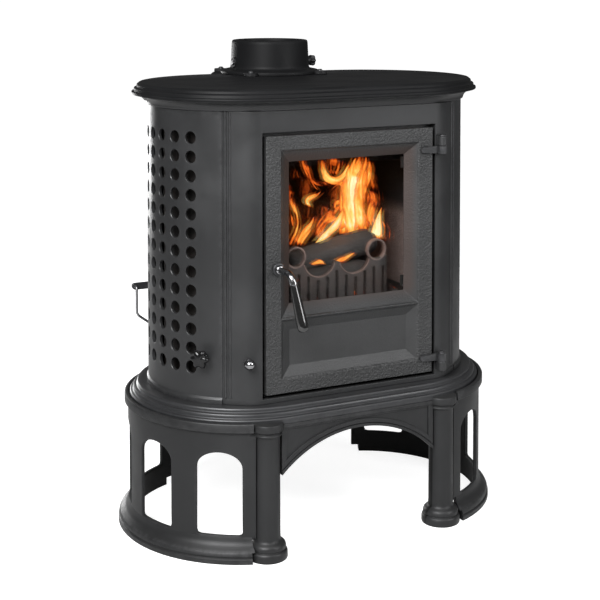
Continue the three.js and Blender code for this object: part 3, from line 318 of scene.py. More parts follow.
@dataclass(frozen=True)
class CastIron(Finish):
    """Satin stove enamel on sand-cast iron."""

    name: str
    colour: Colour = (0.021, 0.0215, 0.023)
    worn: Colour = (0.075, 0.075, 0.078)
    dust_colour: Colour = (0.06, 0.058, 0.055)
    roughness: float = 0.46
    metallic: float = 0.4
    grain: float = 950.0
    coarse: float = 0.35
    relief: float = 0.22
    wear: float = 0.35
    dust: float = 0.25
    specular: float = 0.5
    crinkle: float = 0.0
    crinkle_size: float = 390.0
    crinkle_relief: float = 0.0011
    crinkle_face: float = -142.0
    # painted light: the fire's warm glow on the window's slopes, and the box in which it falls
    firelight_tint: Colour = (0.042, 0.023, 0.017)
    firelight_depth: Plan = (-141.0, -133.0)
    firelight_height: Plan = (325.0, 350.0)
    firelight_width: Plan = (111.0, 116.0)
    # painted shade: the dark colour laid on a round end's inner faces, and the radius and depth that bound it
    bare: Colour = (0.002, 0.002, 0.002)
    inner_shade_reach: float = 0.0
    inner_shade_behind: float = -162.9

    def wire(self, w: Wiring, shader: bpy.types.Node, effects: SharedEffects) -> None:
        """Wires the enamel, its wear and dust, a painted glow of firelight round the door's window, and
        painted shade on a round end's inner faces.
        """
        skin = group_node(w, effects.cast_grain, scale=self.grain, coarse=self.coarse)
        wear = group_node(w, effects.edge_wear, amount=self.wear)
        dust = group_node(w, effects.settled_dust, amount=self.dust)
        light = tuple(min(1.0, c * 1.32) for c in self.colour)
        base = w.mix(skin["Mottle"], self.colour, light)
        base = w.mix(wear["Mask"], base, self.worn)
        base = w.mix(dust["Mask"], base, self.dust_colour)
        # painted light: the fire's glow on the window slopes, on the door only
        if self.crinkle > 0:
            base = w.mix(self._painted_firelight(w), base, self.firelight_tint)
        # painted shade: the stand's inner faces turn dark
        if self.inner_shade_reach > 0:
            base = w.mix(self._painted_inner_shade(w), base, self.bare)
        w.feed(shader, "Base Color", base)
        plain(shader, metallic=self.metallic, specular_ior_level=self.specular)
        rough = w.remap(skin["Mottle"], 0.0, 1.0, self.roughness - 0.05, self.roughness + 0.07)
        rough = w.math("ADD", rough, w.times(dust["Mask"], 0.3))
        w.feed(shader, "Roughness", w.math("SUBTRACT", rough, w.times(wear["Mask"], 0.12), True))
        grain = bump(w, shader, skin["Height"], self.relief, 0.0004)
        if self.crinkle > 0:
            self._add_crinkle(w, shader, grain)

    def _painted_firelight(self, w: Wiring) -> Socket:
        """Painted light: a warm glow of the fire on the slopes round the window."""
        axes = w.axes(w.place())
        deep = w.remap(axes["Y"], *((y + ORIGIN_SHIFT) * MM for y in self.firelight_depth))
        high = w.remap(axes["Z"], *(z * MM for z in self.firelight_height))
        near = w.remap(w.math("ABSOLUTE", axes["X"]), *(x * MM for x in self.firelight_width), 1.0, 0.0)
        return w.times(w.times(deep, high), w.times(near, 0.55), clamp=True)

    def _painted_inner_shade(self, w: Wiring) -> Socket:
        """Painted shade: where a round end's casting faces inwards, behind the front arch's face, its colour
        goes dark.
        """
        axes = w.axes(w.place())
        outward = w.math("SUBTRACT", w.math("ABSOLUTE", axes["X"]), END_CENTRE * MM)
        outward = w.math("MAXIMUM", outward, 0.0)
        depth = w.math("SUBTRACT", axes["Y"], ORIGIN_SHIFT * MM)
        away = w.math("SQRT", w.math("ADD", w.times(outward, outward), w.times(depth, depth)))
        within = w.remap(away, (self.inner_shade_reach - 0.4) * MM, (self.inner_shade_reach + 0.4) * MM, 1.0, 0.0)
        return w.times(within, w.remap(depth, (self.inner_shade_behind - 0.3) * MM, (self.inner_shade_behind + 0.3) * MM))

    def _add_crinkle(self, w: Wiring, shader: bpy.types.Node, grain: Socket) -> None:
        """Lays a coarse hammered skin on the flat face in front, over the grain's normal."""
        place = w.place()
        cells = w.add("ShaderNodeTexVoronoi", feature="SMOOTH_F1")
        w.feed(cells, "Vector", place)
        w.feed(cells, "Scale", self.crinkle_size)
        w.feed(cells, "Smoothness", 0.7)
        blobs = w.math("ADD", cells.outputs["Distance"], w.times(w.noise(place, 420.0, 3.0), 0.8))
        face = (self.crinkle_face + ORIGIN_SHIFT) * MM
        near = w.remap(w.axes(place)["Y"], face + 0.4 * MM, face + 2.2 * MM, 1.0, 0.25)
        bump(w, shader, w.times(blobs, near), self.crinkle, self.crinkle_relief, grain)


@dataclass(frozen=True)
class FireSideIron(Finish):
    """Bare iron behind the door, stained by heat and soot."""

    name: str = "fire_side_iron"
    colour: Colour = (0.012, 0.011, 0.01)
    scale: Colour = (0.03, 0.021, 0.017)
    sooty: float = 0.8
    roughness: float = 0.68
    black: Colour = (0.008, 0.008, 0.008)

    def wire(self, w: Wiring, shader: bpy.types.Node, effects: SharedEffects) -> None:
        """Wires heat stains and soot over the cast skin."""
        skin = group_node(w, effects.cast_grain, scale=700.0, coarse=0.5)
        soot = group_node(w, effects.soot, amount=self.sooty, scale=28.0)
        base = w.mix(skin["Mottle"], self.scale, self.colour)
        w.feed(shader, "Base Color", w.mix(soot["Mask"], base, self.black))
        plain(shader, metallic=0.3)
        w.feed(shader, "Roughness", w.remap(soot["Mask"], 0.0, 1.0, self.roughness - 0.1, 0.9))
        bump(w, shader, skin["Height"], 0.4, 0.0006)


@dataclass(frozen=True)
class BrightMetal(Finish):
    """Plated or plain steel, with faint marks along one axis."""

    name: str
    colour: Colour
    roughness: float
    brushed: float = 0.0
    smudge: float = 0.05

    def wire(self, w: Wiring, shader: bpy.types.Node, effects: SharedEffects) -> None:
        """Wires smudges and fine lines."""
        soot = group_node(w, effects.soot, amount=1.0, scale=60.0)
        dull = tuple(c * 0.72 for c in self.colour)
        w.feed(shader, "Base Color", w.mix(soot["Mask"], self.colour, dull))
        plain(shader, metallic=1.0)
        smudged = self.roughness + self.smudge
        w.feed(shader, "Roughness", w.remap(soot["Mask"], 0.0, 1.0, self.roughness, smudged))
        lines = w.noise(w.stretched(1.0, 1.0, 26.0), 160.0, 5.0, 0.7)
        bump(w, shader, lines, 0.04 + self.brushed, 0.0001)


@dataclass(frozen=True)
class GripResin(Finish):
    """Gloss black heat-proof resin."""

    name: str = "grip_resin"
    colour: Colour = (0.006, 0.006, 0.006)
    worn: Colour = (0.03, 0.03, 0.03)

    def wire(self, w: Wiring, shader: bpy.types.Node, effects: SharedEffects) -> None:
        """Wires finger marks, worn edges and the clear coat."""
        wear = group_node(w, effects.edge_wear, amount=0.4)
        w.feed(shader, "Base Color", w.mix(wear["Mask"], self.colour, self.worn))
        prints = w.noise(w.place(), 75.0, 5.0, 0.6)
        w.feed(shader, "Roughness", w.remap(prints, 0.35, 0.75, 0.13, 0.24))
        plain(shader, coat_weight=0.6, coat_roughness=0.08)
        bump(w, shader, prints, 0.05, 0.0002)


@dataclass(frozen=True)
class ClearGlass(Finish):
    """Ceramic door glass with a faint haze of soot towards its rim."""

    name: str = "door_glass_clear"
    tint: Colour = (0.98, 0.96, 0.93)

    def wire(self, w: Wiring, shader: bpy.types.Node, effects: SharedEffects) -> None:
        """Wires the glass and its haze."""
        plain(shader, base_color=self.tint, metallic=0.0, transmission_weight=1.0, ior=1.12, alpha=0.16)
        soot = group_node(w, effects.soot, amount=1.0, scale=14.0)
        w.feed(shader, "Roughness", w.remap(soot["Mask"], 0.0, 1.0, 0.0, 0.03))


@dataclass(frozen=True)
class Woven(Finish):
    """Braided glass rope of the door seal."""

    name: str = "seal_rope"
    dark: Colour = (0.05, 0.047, 0.043)
    light: Colour = (0.16, 0.15, 0.135)
    sooty: Colour = (0.03, 0.03, 0.03)
    braid_scale: float = 190.0

    def wire(self, w: Wiring, shader: bpy.types.Node, effects: SharedEffects) -> None:
        """Wires the braid and its soot."""
        soot = group_node(w, effects.soot, amount=0.7, scale=50.0)
        braid = w.add("ShaderNodeTexWave", bands_direction="DIAGONAL")
        w.feed(braid, "Vector", w.place())
        w.feed(braid, "Scale", self.braid_scale)
        w.feed(braid, "Distortion", 1.5)
        base = w.mix(braid.outputs["Fac"], self.dark, self.light)
        w.feed(shader, "Base Color", w.mix(soot["Mask"], base, self.sooty))
        plain(shader, roughness=0.95)
        bump(w, shader, braid.outputs["Fac"], 0.8, 0.0008)


@dataclass(frozen=True)
class Vermiculite(Finish):
    """Pressed flaky board, scorched by the fire."""

    name: str = "pressed_board"
    colour: Colour = (0.13, 0.095, 0.085)
    scorched: Colour = (0.003, 0.0024, 0.0022)
    black_above: float = 0.435
    flake_scale: float = 420.0

    def wire(self, w: Wiring, shader: bpy.types.Node, effects: SharedEffects) -> None:
        """Wires the flakes and the scorched upper part."""
        soot = group_node(w, effects.soot, amount=0.95, scale=9.0)
        flakes = w.add("ShaderNodeTexVoronoi")
        w.feed(flakes, "Vector", w.place())
        w.feed(flakes, "Scale", self.flake_scale)
        pale = tuple(min(1.0, c * 1.5) for c in self.colour)
        base = w.mix(w.remap(flakes.outputs["Distance"], 0.1, 0.7), pale, self.colour)
        above = w.remap(w.axes(w.place())["Z"], self.black_above - 0.02, self.black_above + 0.02)
        scorch = w.math("MAXIMUM", above, w.times(soot["Mask"], 0.5))
        w.feed(shader, "Base Color", w.mix(scorch, base, self.scorched))
        plain(shader, roughness=0.93)
        bump(w, shader, flakes.outputs["Distance"], 0.5, 0.0009)


@dataclass(frozen=True)
class CharredWood(Finish):
    """Burning log: grey ash over black char, with glowing cracks."""

    name: str
    char: Colour = (0.03, 0.026, 0.024)
    ash: Colour = (0.1, 0.094, 0.09)
    burning: float = 0.6
    crack_scale: float = 75.0
    glow: tuple[tuple[float, Colour], ...] = (
        (0.0, (0.0, 0.0, 0.0)), (0.35, (0.3, 0.04, 0.0)), (1.0, (1.0, 0.3, 0.03)))

    def wire(self, w: Wiring, shader: bpy.types.Node, effects: SharedEffects) -> None:
        """Wires ash, cracks and their glow."""
        ash = group_node(w, effects.soot, amount=0.9, scale=22.0)
        w.feed(shader, "Base Color", w.mix(ash["Mask"], self.char, self.ash))
        cracks = w.add("ShaderNodeTexVoronoi", feature="DISTANCE_TO_EDGE")
        w.feed(cracks, "Vector", w.stretched(0.35, 1.0, 1.0))
        w.feed(cracks, "Scale", self.crack_scale)
        gap = w.remap(cracks.outputs["Distance"], 0.0, 0.12, 1.0, 0.0)
        patch = w.remap(w.noise(w.place(), 23.0, 4.0), self.burning, self.burning + 0.12)
        w.feed(shader, "Emission Color", w.ramp(w.times(gap, patch), self.glow))
        plain(shader, roughness=0.85, emission_strength=0.9)
        bump(w, shader, w.math("SUBTRACT", ash["Height"], w.times(gap, 0.5)), 0.5, 0.0015)


@dataclass(frozen=True)
class GlowingEmbers(Finish):
    """Bed of coals: black skins over an orange heart."""

    name: str = "glowing_embers"
    coal: Colour = (0.012, 0.01, 0.009)
    ash: Colour = (0.06, 0.052, 0.048)
    glow: tuple[tuple[float, Colour], ...] = (
        (0.0, (0.0, 0.0, 0.0)), (0.3, (0.2, 0.01, 0.0)), (0.7, (0.85, 0.12, 0.01)), (1.0, (1.0, 0.4, 0.08)))

    def wire(self, w: Wiring, shader: bpy.types.Node, effects: SharedEffects) -> None:
        """Wires ash over the glowing hearts."""
        ash = group_node(w, effects.soot, amount=0.9, scale=80.0)
        w.feed(shader, "Base Color", w.mix(ash["Mask"], self.coal, self.ash))
        heat = w.remap(w.noise(w.place(), 34.0, 5.0, 0.65), 0.54, 0.8)
        w.feed(shader, "Emission Color", w.ramp(heat, self.glow))
        plain(shader, roughness=0.95, emission_strength=0.9)
        bump(w, shader, ash["Height"], 0.7, 0.003)


@dataclass(frozen=True)
class Flame(Finish):
    """Fire: pale yellow heart, orange body and dark red tips that fade out.

    The mesh carries the map "heat" (core, rise) and the map "flow" (across, along), both of its own
    tongue, so that the streaks follow every curl.
    """

    name: str = "flame"
    strength: float = 1.15
    streaks: float = 1.75
    cooling: float = 0.12
    fire: tuple[tuple[float, Colour], ...] = (
        (0.0, (0.1, 0.004, 0.0)), (0.16, (0.4, 0.032, 0.002)), (0.34, (0.86, 0.15, 0.012)),
        (0.55, (1.0, 0.37, 0.04)), (0.78, (1.0, 0.68, 0.16)), (1.0, (1.0, 0.92, 0.55)))

    def wire(self, w: Wiring, shader: bpy.types.Node, effects: SharedEffects) -> None:
        """Wires the fire; it takes no wear, so the shared effects go unused."""
        heat = w.axes(w.add("ShaderNodeUVMap", uv_map="heat").outputs["UV"])
        core, rise = heat["X"], heat["Y"]
        flow = w.add("ShaderNodeMapping")
        w.feed(flow, "Vector", w.add("ShaderNodeUVMap", uv_map="flow").outputs["UV"])
        w.feed(flow, "Scale", (1.15, 0.25, 1.0))
        licks = w.noise(flow.outputs["Vector"], 1.0, 3.0, 0.5, 1.1)
        body = w.math("ADD", core, w.times(w.math("SUBTRACT", licks, 0.5), self.streaks))
        body = w.math("SUBTRACT", body, w.times(rise, self.cooling))
        plain(shader, base_color=(0.0, 0.0, 0.0), roughness=1.0, emission_strength=self.strength)
        w.feed(shader, "Emission Color", w.ramp(body, self.fire))
        w.feed(shader, "Alpha", w.times(w.remap(body, 0.02, 0.34), w.remap(core, 0.0, 0.1), clamp=True))


@dataclass(frozen=True)
class PaleFloor(Finish):
    """The studio's floor, which shines less on the stove than into the camera."""

    name: str = "pale_floor"
    dark: Colour = (0.56, 0.56, 0.56)
    light: Colour = (0.62, 0.62, 0.62)
    near: Colour = (0.84, 0.84, 0.84)
    far: Colour = (0.95, 0.95, 0.95)
    bounce: float = 0.12

    def wire(self, w: Wiring, shader: bpy.types.Node, effects: SharedEffects) -> None:
        """Wires the floor; it is new, so the shared effects go unused."""
        w.feed(shader, "Base Color", w.mix(w.noise(w.place(), 3.0, 2.0), self.dark, self.light))
        plain(shader, roughness=0.85)
        reach = w.add("ShaderNodeVectorMath", operation="LENGTH")
        w.feed(reach, 0, w.place())
        away = w.remap(reach.outputs["Value"], 0.4, 1.2)
        w.feed(shader, "Emission Color", w.mix(away, self.near, self.far))
        seen = w.add("ShaderNodeLightPath").outputs["Is Camera Ray"]
        w.feed(shader, "Emission Strength", w.remap(seen, 0.0, 1.0, self.bounce, 1.0))


class Workshop:
    """Holds every finished material by name."""

    def __init__(self) -> None:
        """Makes the shared effects and then each material."""
        effects = SharedEffects()
        finishes = {
            "body": CastIron("body_iron", colour=(0.02, 0.0204, 0.0212), roughness=0.43),
            # painted shade: the stand takes a darker, less glossy copy of the enamel, and its round ends'
            # inner faces are painted dark
            "stand": CastIron("stand_iron", colour=(0.0165, 0.0168, 0.0174), roughness=0.47, specular=0.34,
                              inner_shade_reach=166.3),
            # painted shade: a darker, duller copy of the enamel for the top plate and the flue collar,
            # standing in for the lack of light from above
            "crown": CastIron("crown_iron_painted_shade", colour=(0.006, 0.0061, 0.0065), roughness=0.5, metallic=0.0,
                              dust=0.03, specular=0.08),
            "moulding": CastIron("moulding_iron", roughness=0.4),
            "door": CastIron("door_iron", colour=(0.026, 0.0264, 0.027), crinkle=0.95, roughness=0.5),
            "small": CastIron("small_iron", roughness=0.42, wear=0.55),
            "knob": CastIron("knob_iron", colour=(0.006, 0.006, 0.0065), roughness=0.22, wear=0.3),
            "inside": FireSideIron(),
            "steel": BrightMetal("plain_steel", (0.36, 0.36, 0.37), 0.34, brushed=0.12, smudge=0.12),
            "dark_steel": BrightMetal("dark_steel", (0.12, 0.12, 0.125), 0.4, brushed=0.1, smudge=0.12),
            "chrome": BrightMetal("polished_chrome", (0.33, 0.33, 0.34), 0.15),
            "grip": GripResin(),
            "glass": ClearGlass(),
            "rope": Woven(),
            "board": Vermiculite(),
            "guard": FireSideIron("guard_iron", (0.03, 0.0285, 0.0275), (0.045, 0.03, 0.026), 0.4, 0.6),
            # painted highlight: a pale pinkish iron for the guard's rings and scallop lines, where the fire
            # catches their edges
            "rims": FireSideIron("rim_iron_painted_firelight", (0.13, 0.1, 0.092), (0.2, 0.13, 0.11), 0.35, 0.55),
            "wood": CharredWood("ashen_wood", (0.013, 0.0118, 0.011), (0.026, 0.0245, 0.024), 0.72),
            "burnt_wood": CharredWood("burnt_wood", (0.005, 0.0045, 0.004), (0.012, 0.011, 0.0105), 0.58),
            "embers": GlowingEmbers(),
            "flame": Flame(),
            "floor": PaleFloor(),
        }
        self._materials = {name: finish.make(effects) for name, finish in finishes.items()}

    def __getitem__(self, name: str) -> bpy.types.Material:
        """The finished material of that name."""
        return self._materials[name]


# ------------------------------------------------------------------ drafts
def in_frame(point: Point) -> Point:
    """A point of the drawing frame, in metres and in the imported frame."""
    x, y, z = point
    return x * MM, (y + ORIGIN_SHIFT) * MM, z * MM


def put_in_scene(name: str, data: bpy.types.ID) -> bpy.types.Object:
    """Makes an object of a mesh, a light or a camera and links it to the scene."""
    made = bpy.data.objects.new(name, data)
    bpy.context.scene.collection.objects.link(made)
    return made


def ease_edges(piece: bpy.types.Object, radius: float, sharp: float, harden: bool) -> None:
    """Rounds a piece's sharp edges.

    Args:
        piece: The piece.
        radius: Radius of the rounding, in millimetres.
        sharp: Edges sharper than this angle are rounded, in degrees.
        harden: Whether the flat faces beside them shade as flat ones.
    """
    ease = piece.modifiers.new("eased_edges", "BEVEL")
    ease.width = radius * MM
    ease.segments = 2
    ease.limit_method = "ANGLE"
    ease.angle_limit = math.radians(sharp)
    ease.harden_normals = harden


def set_along(start: Vector, toward: Vector) -> Callable[[float, float, float], Point]:
    """Turns places round an upright axis into places round one that starts and points elsewhere."""
    turn = toward.normalized().to_track_quat("Z", "Y")
    return lambda x, y, z: tuple(start + turn @ Vector((x, y, z)))


@dataclass
class Draft:
    """A mesh in the making, in millimetres."""

    points: list[Point] = field(default_factory=list)
    faces: list[tuple[int, ...]] = field(default_factory=list)

    def row(self, points: Sequence[Point]) -> list[int]:
        """Adds points and returns their numbers."""
        start = len(self.points)
        self.points.extend(tuple(p) for p in points)
        return list(range(start, start + len(points)))

    def skin(self, rows: Sequence[Sequence[Point]], around: bool = True, loop: bool = False) -> None:
        """Spans quads between rows of points.

        Args:
            rows: Rows with the same number of points.
            around: Each row closes on itself.
            loop: The last row joins the first.
        """
        numbers = [self.row(points) for points in rows]
        if loop:
            numbers.append(numbers[0])
        count = len(numbers[0])
        last = count if around else count - 1
        for low, high in zip(numbers, numbers[1:]):
            for k in range(last):
                n = (k + 1) % count
                self.faces.append((low[k], low[n], high[n], high[k]))

    def cap(self, points: Sequence[Point]) -> None:
        """Closes a flat outline."""
        self.faces.append(tuple(self.row(points)))

    def solid(self, rows: Sequence[Sequence[Point]]) -> None:
        """Spans quads between rows and closes the first and the last one."""
        self.skin(rows)
        self.cap(rows[0])
        self.cap(rows[-1])

    def plate(self, outline: Sequence[Point], holes: Sequence[Sequence[Point]]) -> None:
        """Fills a flat outline that has holes."""
        loops = [[Vector(p) for p in loop] for loop in (outline, *holes)]
        numbers = self.row([p for loop in (outline, *holes) for p in loop])
        for triangle in tessellate_polygon(loops):
            self.faces.append(tuple(numbers[k] for k in triangle))

    def block(self, low: Point, high: Point) -> None:
        """Adds a box between two corners."""
        (x0, y0, z0), (x1, y1, z1) = low, high
        self.solid([[(x0, y0, z), (x1, y0, z), (x1, y1, z), (x0, y1, z)] for z in (z0, z1)])

    def slab(self, xs: Sequence[float], low: Callable[[float], float], high: Callable[[float], float],
             front: float, back: float) -> None:
        """Adds an upright slab between two outlines over X.

        Args:
            xs: Stations along X.
            low: Height of the lower edge at a station.
            high: Height of the upper edge at a station.
            front: Y of the front face.
            back: Y of the back face.
        """
        ring = [(front, low), (front, high), (back, high), (back, low)]
        self.solid([[(x, y, height(x)) for y, height in ring] for x in xs])

    def turned(self, profile: Sequence[Plan], start: Vector, toward: Vector, sides: int = 48) -> None:
        """Adds a turned form.

        Args:
            profile: Radius and distance along the axis; a radius of 0 closes an end.
            start: Where the axis starts.
            toward: The axis' direction.
            sides: Facets round the axis.
        """
        spot = set_along(start, toward)
        self.skin([[spot(x, y, along) for x, y in circle(max(radius, 1e-4), sides)]
                   for radius, along in profile])

    def rod(self, start: Vector, toward: Vector, radius: float, length: float, sides: int) -> None:
        """Adds a plain round rod."""
        self.turned([(0, 0), (radius, 0), (radius, length), (0, length)], start, toward, sides)

    def tube(self, path: Sequence[Vector], radius: Callable[[float], float], sides: int = 16) -> None:
        """Adds a closed tube along a path; radius takes the share of the way along it."""
        rows = []
        last = len(path) - 1
        across = (path[1] - path[0]).orthogonal()
        for k, spot in enumerate(path):
            along = (path[min(k + 1, last)] - path[max(k - 1, 0)]).normalized()
            across = (across - along * across.dot(along)).normalized()
            other = along.cross(across)
            size = radius(k / last)
            rows.append([tuple(spot + size * (across * x + other * y)) for x, y in circle(1.0, sides)])
        self.solid(rows)

    def build(self, name: str, material: bpy.types.Material, body: str, slot: Slot, rounding: float = 0.0,
              crease: float = 32.0, stands_for: Sequence[str] = ()) -> bpy.types.Object:
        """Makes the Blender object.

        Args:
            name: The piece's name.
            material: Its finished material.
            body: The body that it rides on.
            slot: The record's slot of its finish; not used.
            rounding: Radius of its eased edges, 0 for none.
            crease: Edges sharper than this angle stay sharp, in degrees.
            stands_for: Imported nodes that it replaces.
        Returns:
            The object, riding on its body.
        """
        mesh = bpy.data.meshes.new(name)
        mesh.from_pydata([in_frame(point) for point in self.points], [], self.faces)
        work = bmesh.new()
        work.from_mesh(mesh)
        bmesh.ops.remove_doubles(work, verts=work.verts, dist=2e-6)
        bmesh.ops.dissolve_degenerate(work, edges=work.edges, dist=1e-6)
        bmesh.ops.recalc_face_normals(work, faces=work.faces)
        work.to_mesh(mesh)
        work.free()
        mesh.materials.append(material)
        mesh.shade_smooth()
        mesh.set_sharp_from_angle(angle=math.radians(crease))
        piece = put_in_scene(name, mesh)
        if rounding > 0:
            ease_edges(piece, rounding, crease, harden=True)
        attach(piece, body)
        if stands_for:
            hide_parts(*stands_for)
        LOG.info("%s: %d faces on %s", name, len(mesh.polygons), body)
        return piece


# ------------------------------------------------------------------ the oval plan
def end_point(side: int, radius: float, angle: float) -> Plan:
    """A point on a round end; the angle opens from the side axis to the front, in degrees."""
    a = math.radians(angle)
    return side * (END_CENTRE + radius * math.cos(a)), -radius * math.sin(a)


def oval(radius: float, steps: int = 40) -> list[Plan]:
    """The oval outline at a radius, counter-clockwise."""
    right = [end_point(1, radius, 90 - 180 * k / steps) for k in range(steps + 1)]
    return right + [(-x, -y) for x, y in right]


def smooth_steps(start: float, stop: float, count: int) -> list[float]:
    """Evenly spread numbers, both ends included."""
    return [start + (stop - start) * k / (count - 1) for k in range(count)]


def arc(middle: Plan, radius: float, start: float, stop: float, count: int) -> list[Plan]:
    """Evenly spread points of an arc, both ends included; its angles are in radians."""
    return [(middle[0] + radius * math.cos(a), middle[1] + radius * math.sin(a))
            for a in smooth_steps(start, stop, count)]


def circle(radius: float, count: int, middle: Plan = (0.0, 0.0)) -> list[Plan]:
    """Evenly spread points of a circle."""
    return arc(middle, radius, 0.0, math.tau, count + 1)[:-1]


def with_mirror(right: Sequence[Plan]) -> list[Plan]:
    """An outline's right half, followed by its left half."""
    return [*right, *((-x, y) for x, y in reversed(right))]


def curve_at(marks: Sequence[Sequence[float]], t: float) -> tuple[Vector, Vector]:
    """A place on the curve that four marks make.

    Args:
        marks: Its start, its two handles and its end.
        t: Share of the way.
    Returns:
        The place, and the direction in which the curve leaves it.
    """
    a, b, c, d = (Vector(mark) for mark in marks)
    left = 1 - t
    spot = a * left ** 3 + b * (3 * t * left ** 2) + c * (3 * t * t * left) + d * t ** 3
    return spot, (b - a) * (3 * left ** 2) + (c - b) * (6 * t * left) + (d - c) * (3 * t * t)


def rounded(profile: Sequence[Plan], size: float = 1.2, steps: int = 3) -> list[Plan]:
    """Rounds the inner corners of an open profile.

    Args:
        profile: Points of the profile.
        size: How far from a corner its rounding starts.
        steps: Points in each rounding.
    Returns:
        The rounded profile.
    """
    spots = [Vector(p) for p in profile]
    out = [spots[0]]
    for before, corner, after in zip(spots, spots[1:], spots[2:]):
        reach = min(size, (before - corner).length * 0.45, (after - corner).length * 0.45)
        first = corner + (before - corner).normalized() * reach
        last = corner + (after - corner).normalized() * reach
        for k in range(steps + 1):
            t = k / steps
            out.append(first.lerp(corner, t).lerp(corner.lerp(last, t), t))
    out.append(spots[-1])
    return [tuple(p) for p in out]


def end_sweep(draft: Draft, profile: Sequence[Plan], side: int, angles: Sequence[float],
              front_x: float | None = None) -> None:
    """Runs a closed profile round part of one end.

    Args:
        draft: The mesh that takes it.
        profile: Radius and height, closed on itself.
        side: -1 for the left end, 1 for the right one.
        angles: Stations, from the rear to the front.
        front_x: X of the plane that cuts off the front end.
    """
    rows = []
    for k, angle in enumerate(angles):
        row = []
        for radius, z in profile:
            a = angle
            if front_x is not None and k == len(angles) - 1:
                a = math.degrees(math.acos((front_x - END_CENTRE) / radius))
            row.append((*end_point(side, radius, a), z))
        rows.append(row)
    draft.solid(rows)


def resampled(points: Sequence[Plan], count: int) -> list[Plan]:
    """Spreads points evenly round a closed outline, from its first point."""
    loop = [Vector(p) for p in points]
    loop.append(loop[0])
    lengths = [(b - a).length for a, b in zip(loop, loop[1:])]
    step = sum(lengths) / count
    out: list[Plan] = []
    k, left = 0, 0.0
    for n in range(count):
        while k < len(lengths) - 1 and n * step > left + lengths[k]:
            left += lengths[k]
            k += 1
        out.append(tuple(loop[k].lerp(loop[k + 1], (n * step - left) / lengths[k])))
    return out


def arch_outline(half: float, low: float, high: float, rise: float, corner: float = 4.0) -> list[Plan]:
    """An arched opening, evenly spread from the middle of its sill."""
    eased = corner * 0.3
    right = [(0.0, low), (half - corner, low), (half - eased, low + eased), (half, low + corner)]
    right += [(half * math.cos(a), high - rise + rise * math.sin(a))
              for a in smooth_steps(0.0, math.pi / 2, 14)]
    return resampled(right + [(-x, z) for x, z in reversed(right[1:-1])], 76)


def thrown_out(outline: Sequence[Plan], box: tuple[float, float, float, float]) -> list[Plan]:
    """Throws an outline from its middle onto a box round it.

    Args:
        outline: Angle and height of each point.
        box: Lowest and highest angle, then lowest and highest height.
    Returns:
        As many points on the box, its corners among them.
    """
    a0, a1, z0, z1 = box
    middle = sum(z for _, z in outline) / len(outline)
    out = []
    for a, z in outline:
        rise = z - middle
        across = (a1 if a > 0 else a0) / a if abs(a) > 1e-6 else math.inf
        along = ((z1 if rise > 0 else z0) - middle) / rise if abs(rise) > 1e-6 else math.inf
        reach = min(across, along)
        out.append((a * reach, middle + rise * reach))
    for corner in ((a0, z0), (a0, z1), (a1, z0), (a1, z1)):
        out[min(range(len(out)), key=lambda k: math.dist(out[k], corner))] = corner
    return out


@dataclass(frozen=True)
class PiercedWall:
    """Curved wall of a round end with openings whose sides stay square to it."""

    side: int
    outer: float
    inner: float
    ease: float = 0.7

    def spot(self, radius: float, angle: float, z: float) -> Point:
        """A point of the wall."""
        return (*end_point(self.side, radius, angle), z)

    def cell(self, draft: Draft, outline: Sequence[Plan], middle: Plan,
             box: tuple[float, float, float, float], rings: int) -> None:
        """Adds a piece of wall round one opening.

        Args:
            draft: The mesh that takes it.
            outline: The opening in millimetres, from the cell's middle.
            middle: Angle and height of that middle.
            box: The cell's borders, counted from its middle.
            rings: Rows of faces between the opening and the borders.
        """
        grown = 1 + self.ease / max(abs(s) for s, _ in outline)
        border = thrown_out(self._mouth(outline, self.outer, 1.0), box)

        def loop(radius: float, share: float, blend: float) -> list[Point]:
            """The mouth at a radius, moved towards the borders by a share of the way."""
            mouth = self._mouth(outline, radius, share)
            return [self.spot(radius, middle[0] + a + (b - a) * blend, middle[1] + z + (h - z) * blend)
                    for (a, z), (b, h) in zip(mouth, border)]

        blends = [k / rings for k in range(rings, -1, -1)]
        rows = [loop(self.outer, grown, b) for b in blends]
        rows += [loop(self.outer - self.ease, 1.0, 0.0), loop(self.inner + self.ease, 1.0, 0.0)]
        rows += [loop(self.inner, grown, b) for b in reversed(blends)]
        draft.skin(rows)

    @staticmethod
    def _mouth(outline: Sequence[Plan], radius: float, share: float) -> list[Plan]:
        """An opening as angles and heights at a radius, grown by a share."""
        return [(math.degrees(math.asin(s * share / radius)), z * share) for s, z in outline]

    def patch(self, draft: Draft, face: Callable[[float], float], angles: Sequence[float],
              heights: Sequence[float]) -> None:
        """Adds an open piece of one face.

        Args:
            draft: The mesh that takes it.
            face: Radius at a height.
            angles: Stations round the end.
            heights: Stations up the wall.
        """
        draft.skin([[self.spot(face(z), a, z) for a in angles] for z in heights], around=False)

    def rim(self, draft: Draft, faces: Sequence[Callable[[float], float]], angles: Sequence[float],
            heights: Sequence[float]) -> None:
        """Closes the wall's four edges between its outer and its inner face."""
        loops = []
        for face in faces:
            edge = [(a, heights[0]) for a in angles]
            edge += [(angles[-1], z) for z in heights[1:]]
            edge += [(a, heights[-1]) for a in reversed(angles[:-1])]
            edge += [(angles[0], z) for z in heights[-2:0:-1]]
            loops.append([self.spot(face(z), a, z) for a, z in edge])
        draft.skin(loops)


def rectangle(half: float, low: float, high: float, y: float) -> list[Point]:
    """An upright rectangle round the middle."""
    return [(-half, y, low), (half, y, low), (half, y, high), (-half, y, high)]


def smooth_path(spots: Sequence[Point], steps: int = 6) -> list[Vector]:
    """A smooth curve through the given spots."""
    marks = [Vector(p) for p in spots]
    ends = [marks[0] * 2 - marks[1], *marks, marks[-1] * 2 - marks[-2]]
    out = []
    for a, b, c, d in zip(ends, ends[1:], ends[2:], ends[3:]):
        square, cube = 2 * a - 5 * b + 4 * c - d, 3 * b - a - 3 * c + d
        for k in range(steps):
            t = k / steps
            out.append(0.5 * (2 * b + (c - a) * t + square * t * t + cube * t ** 3))
    return [*out, marks[-1]]


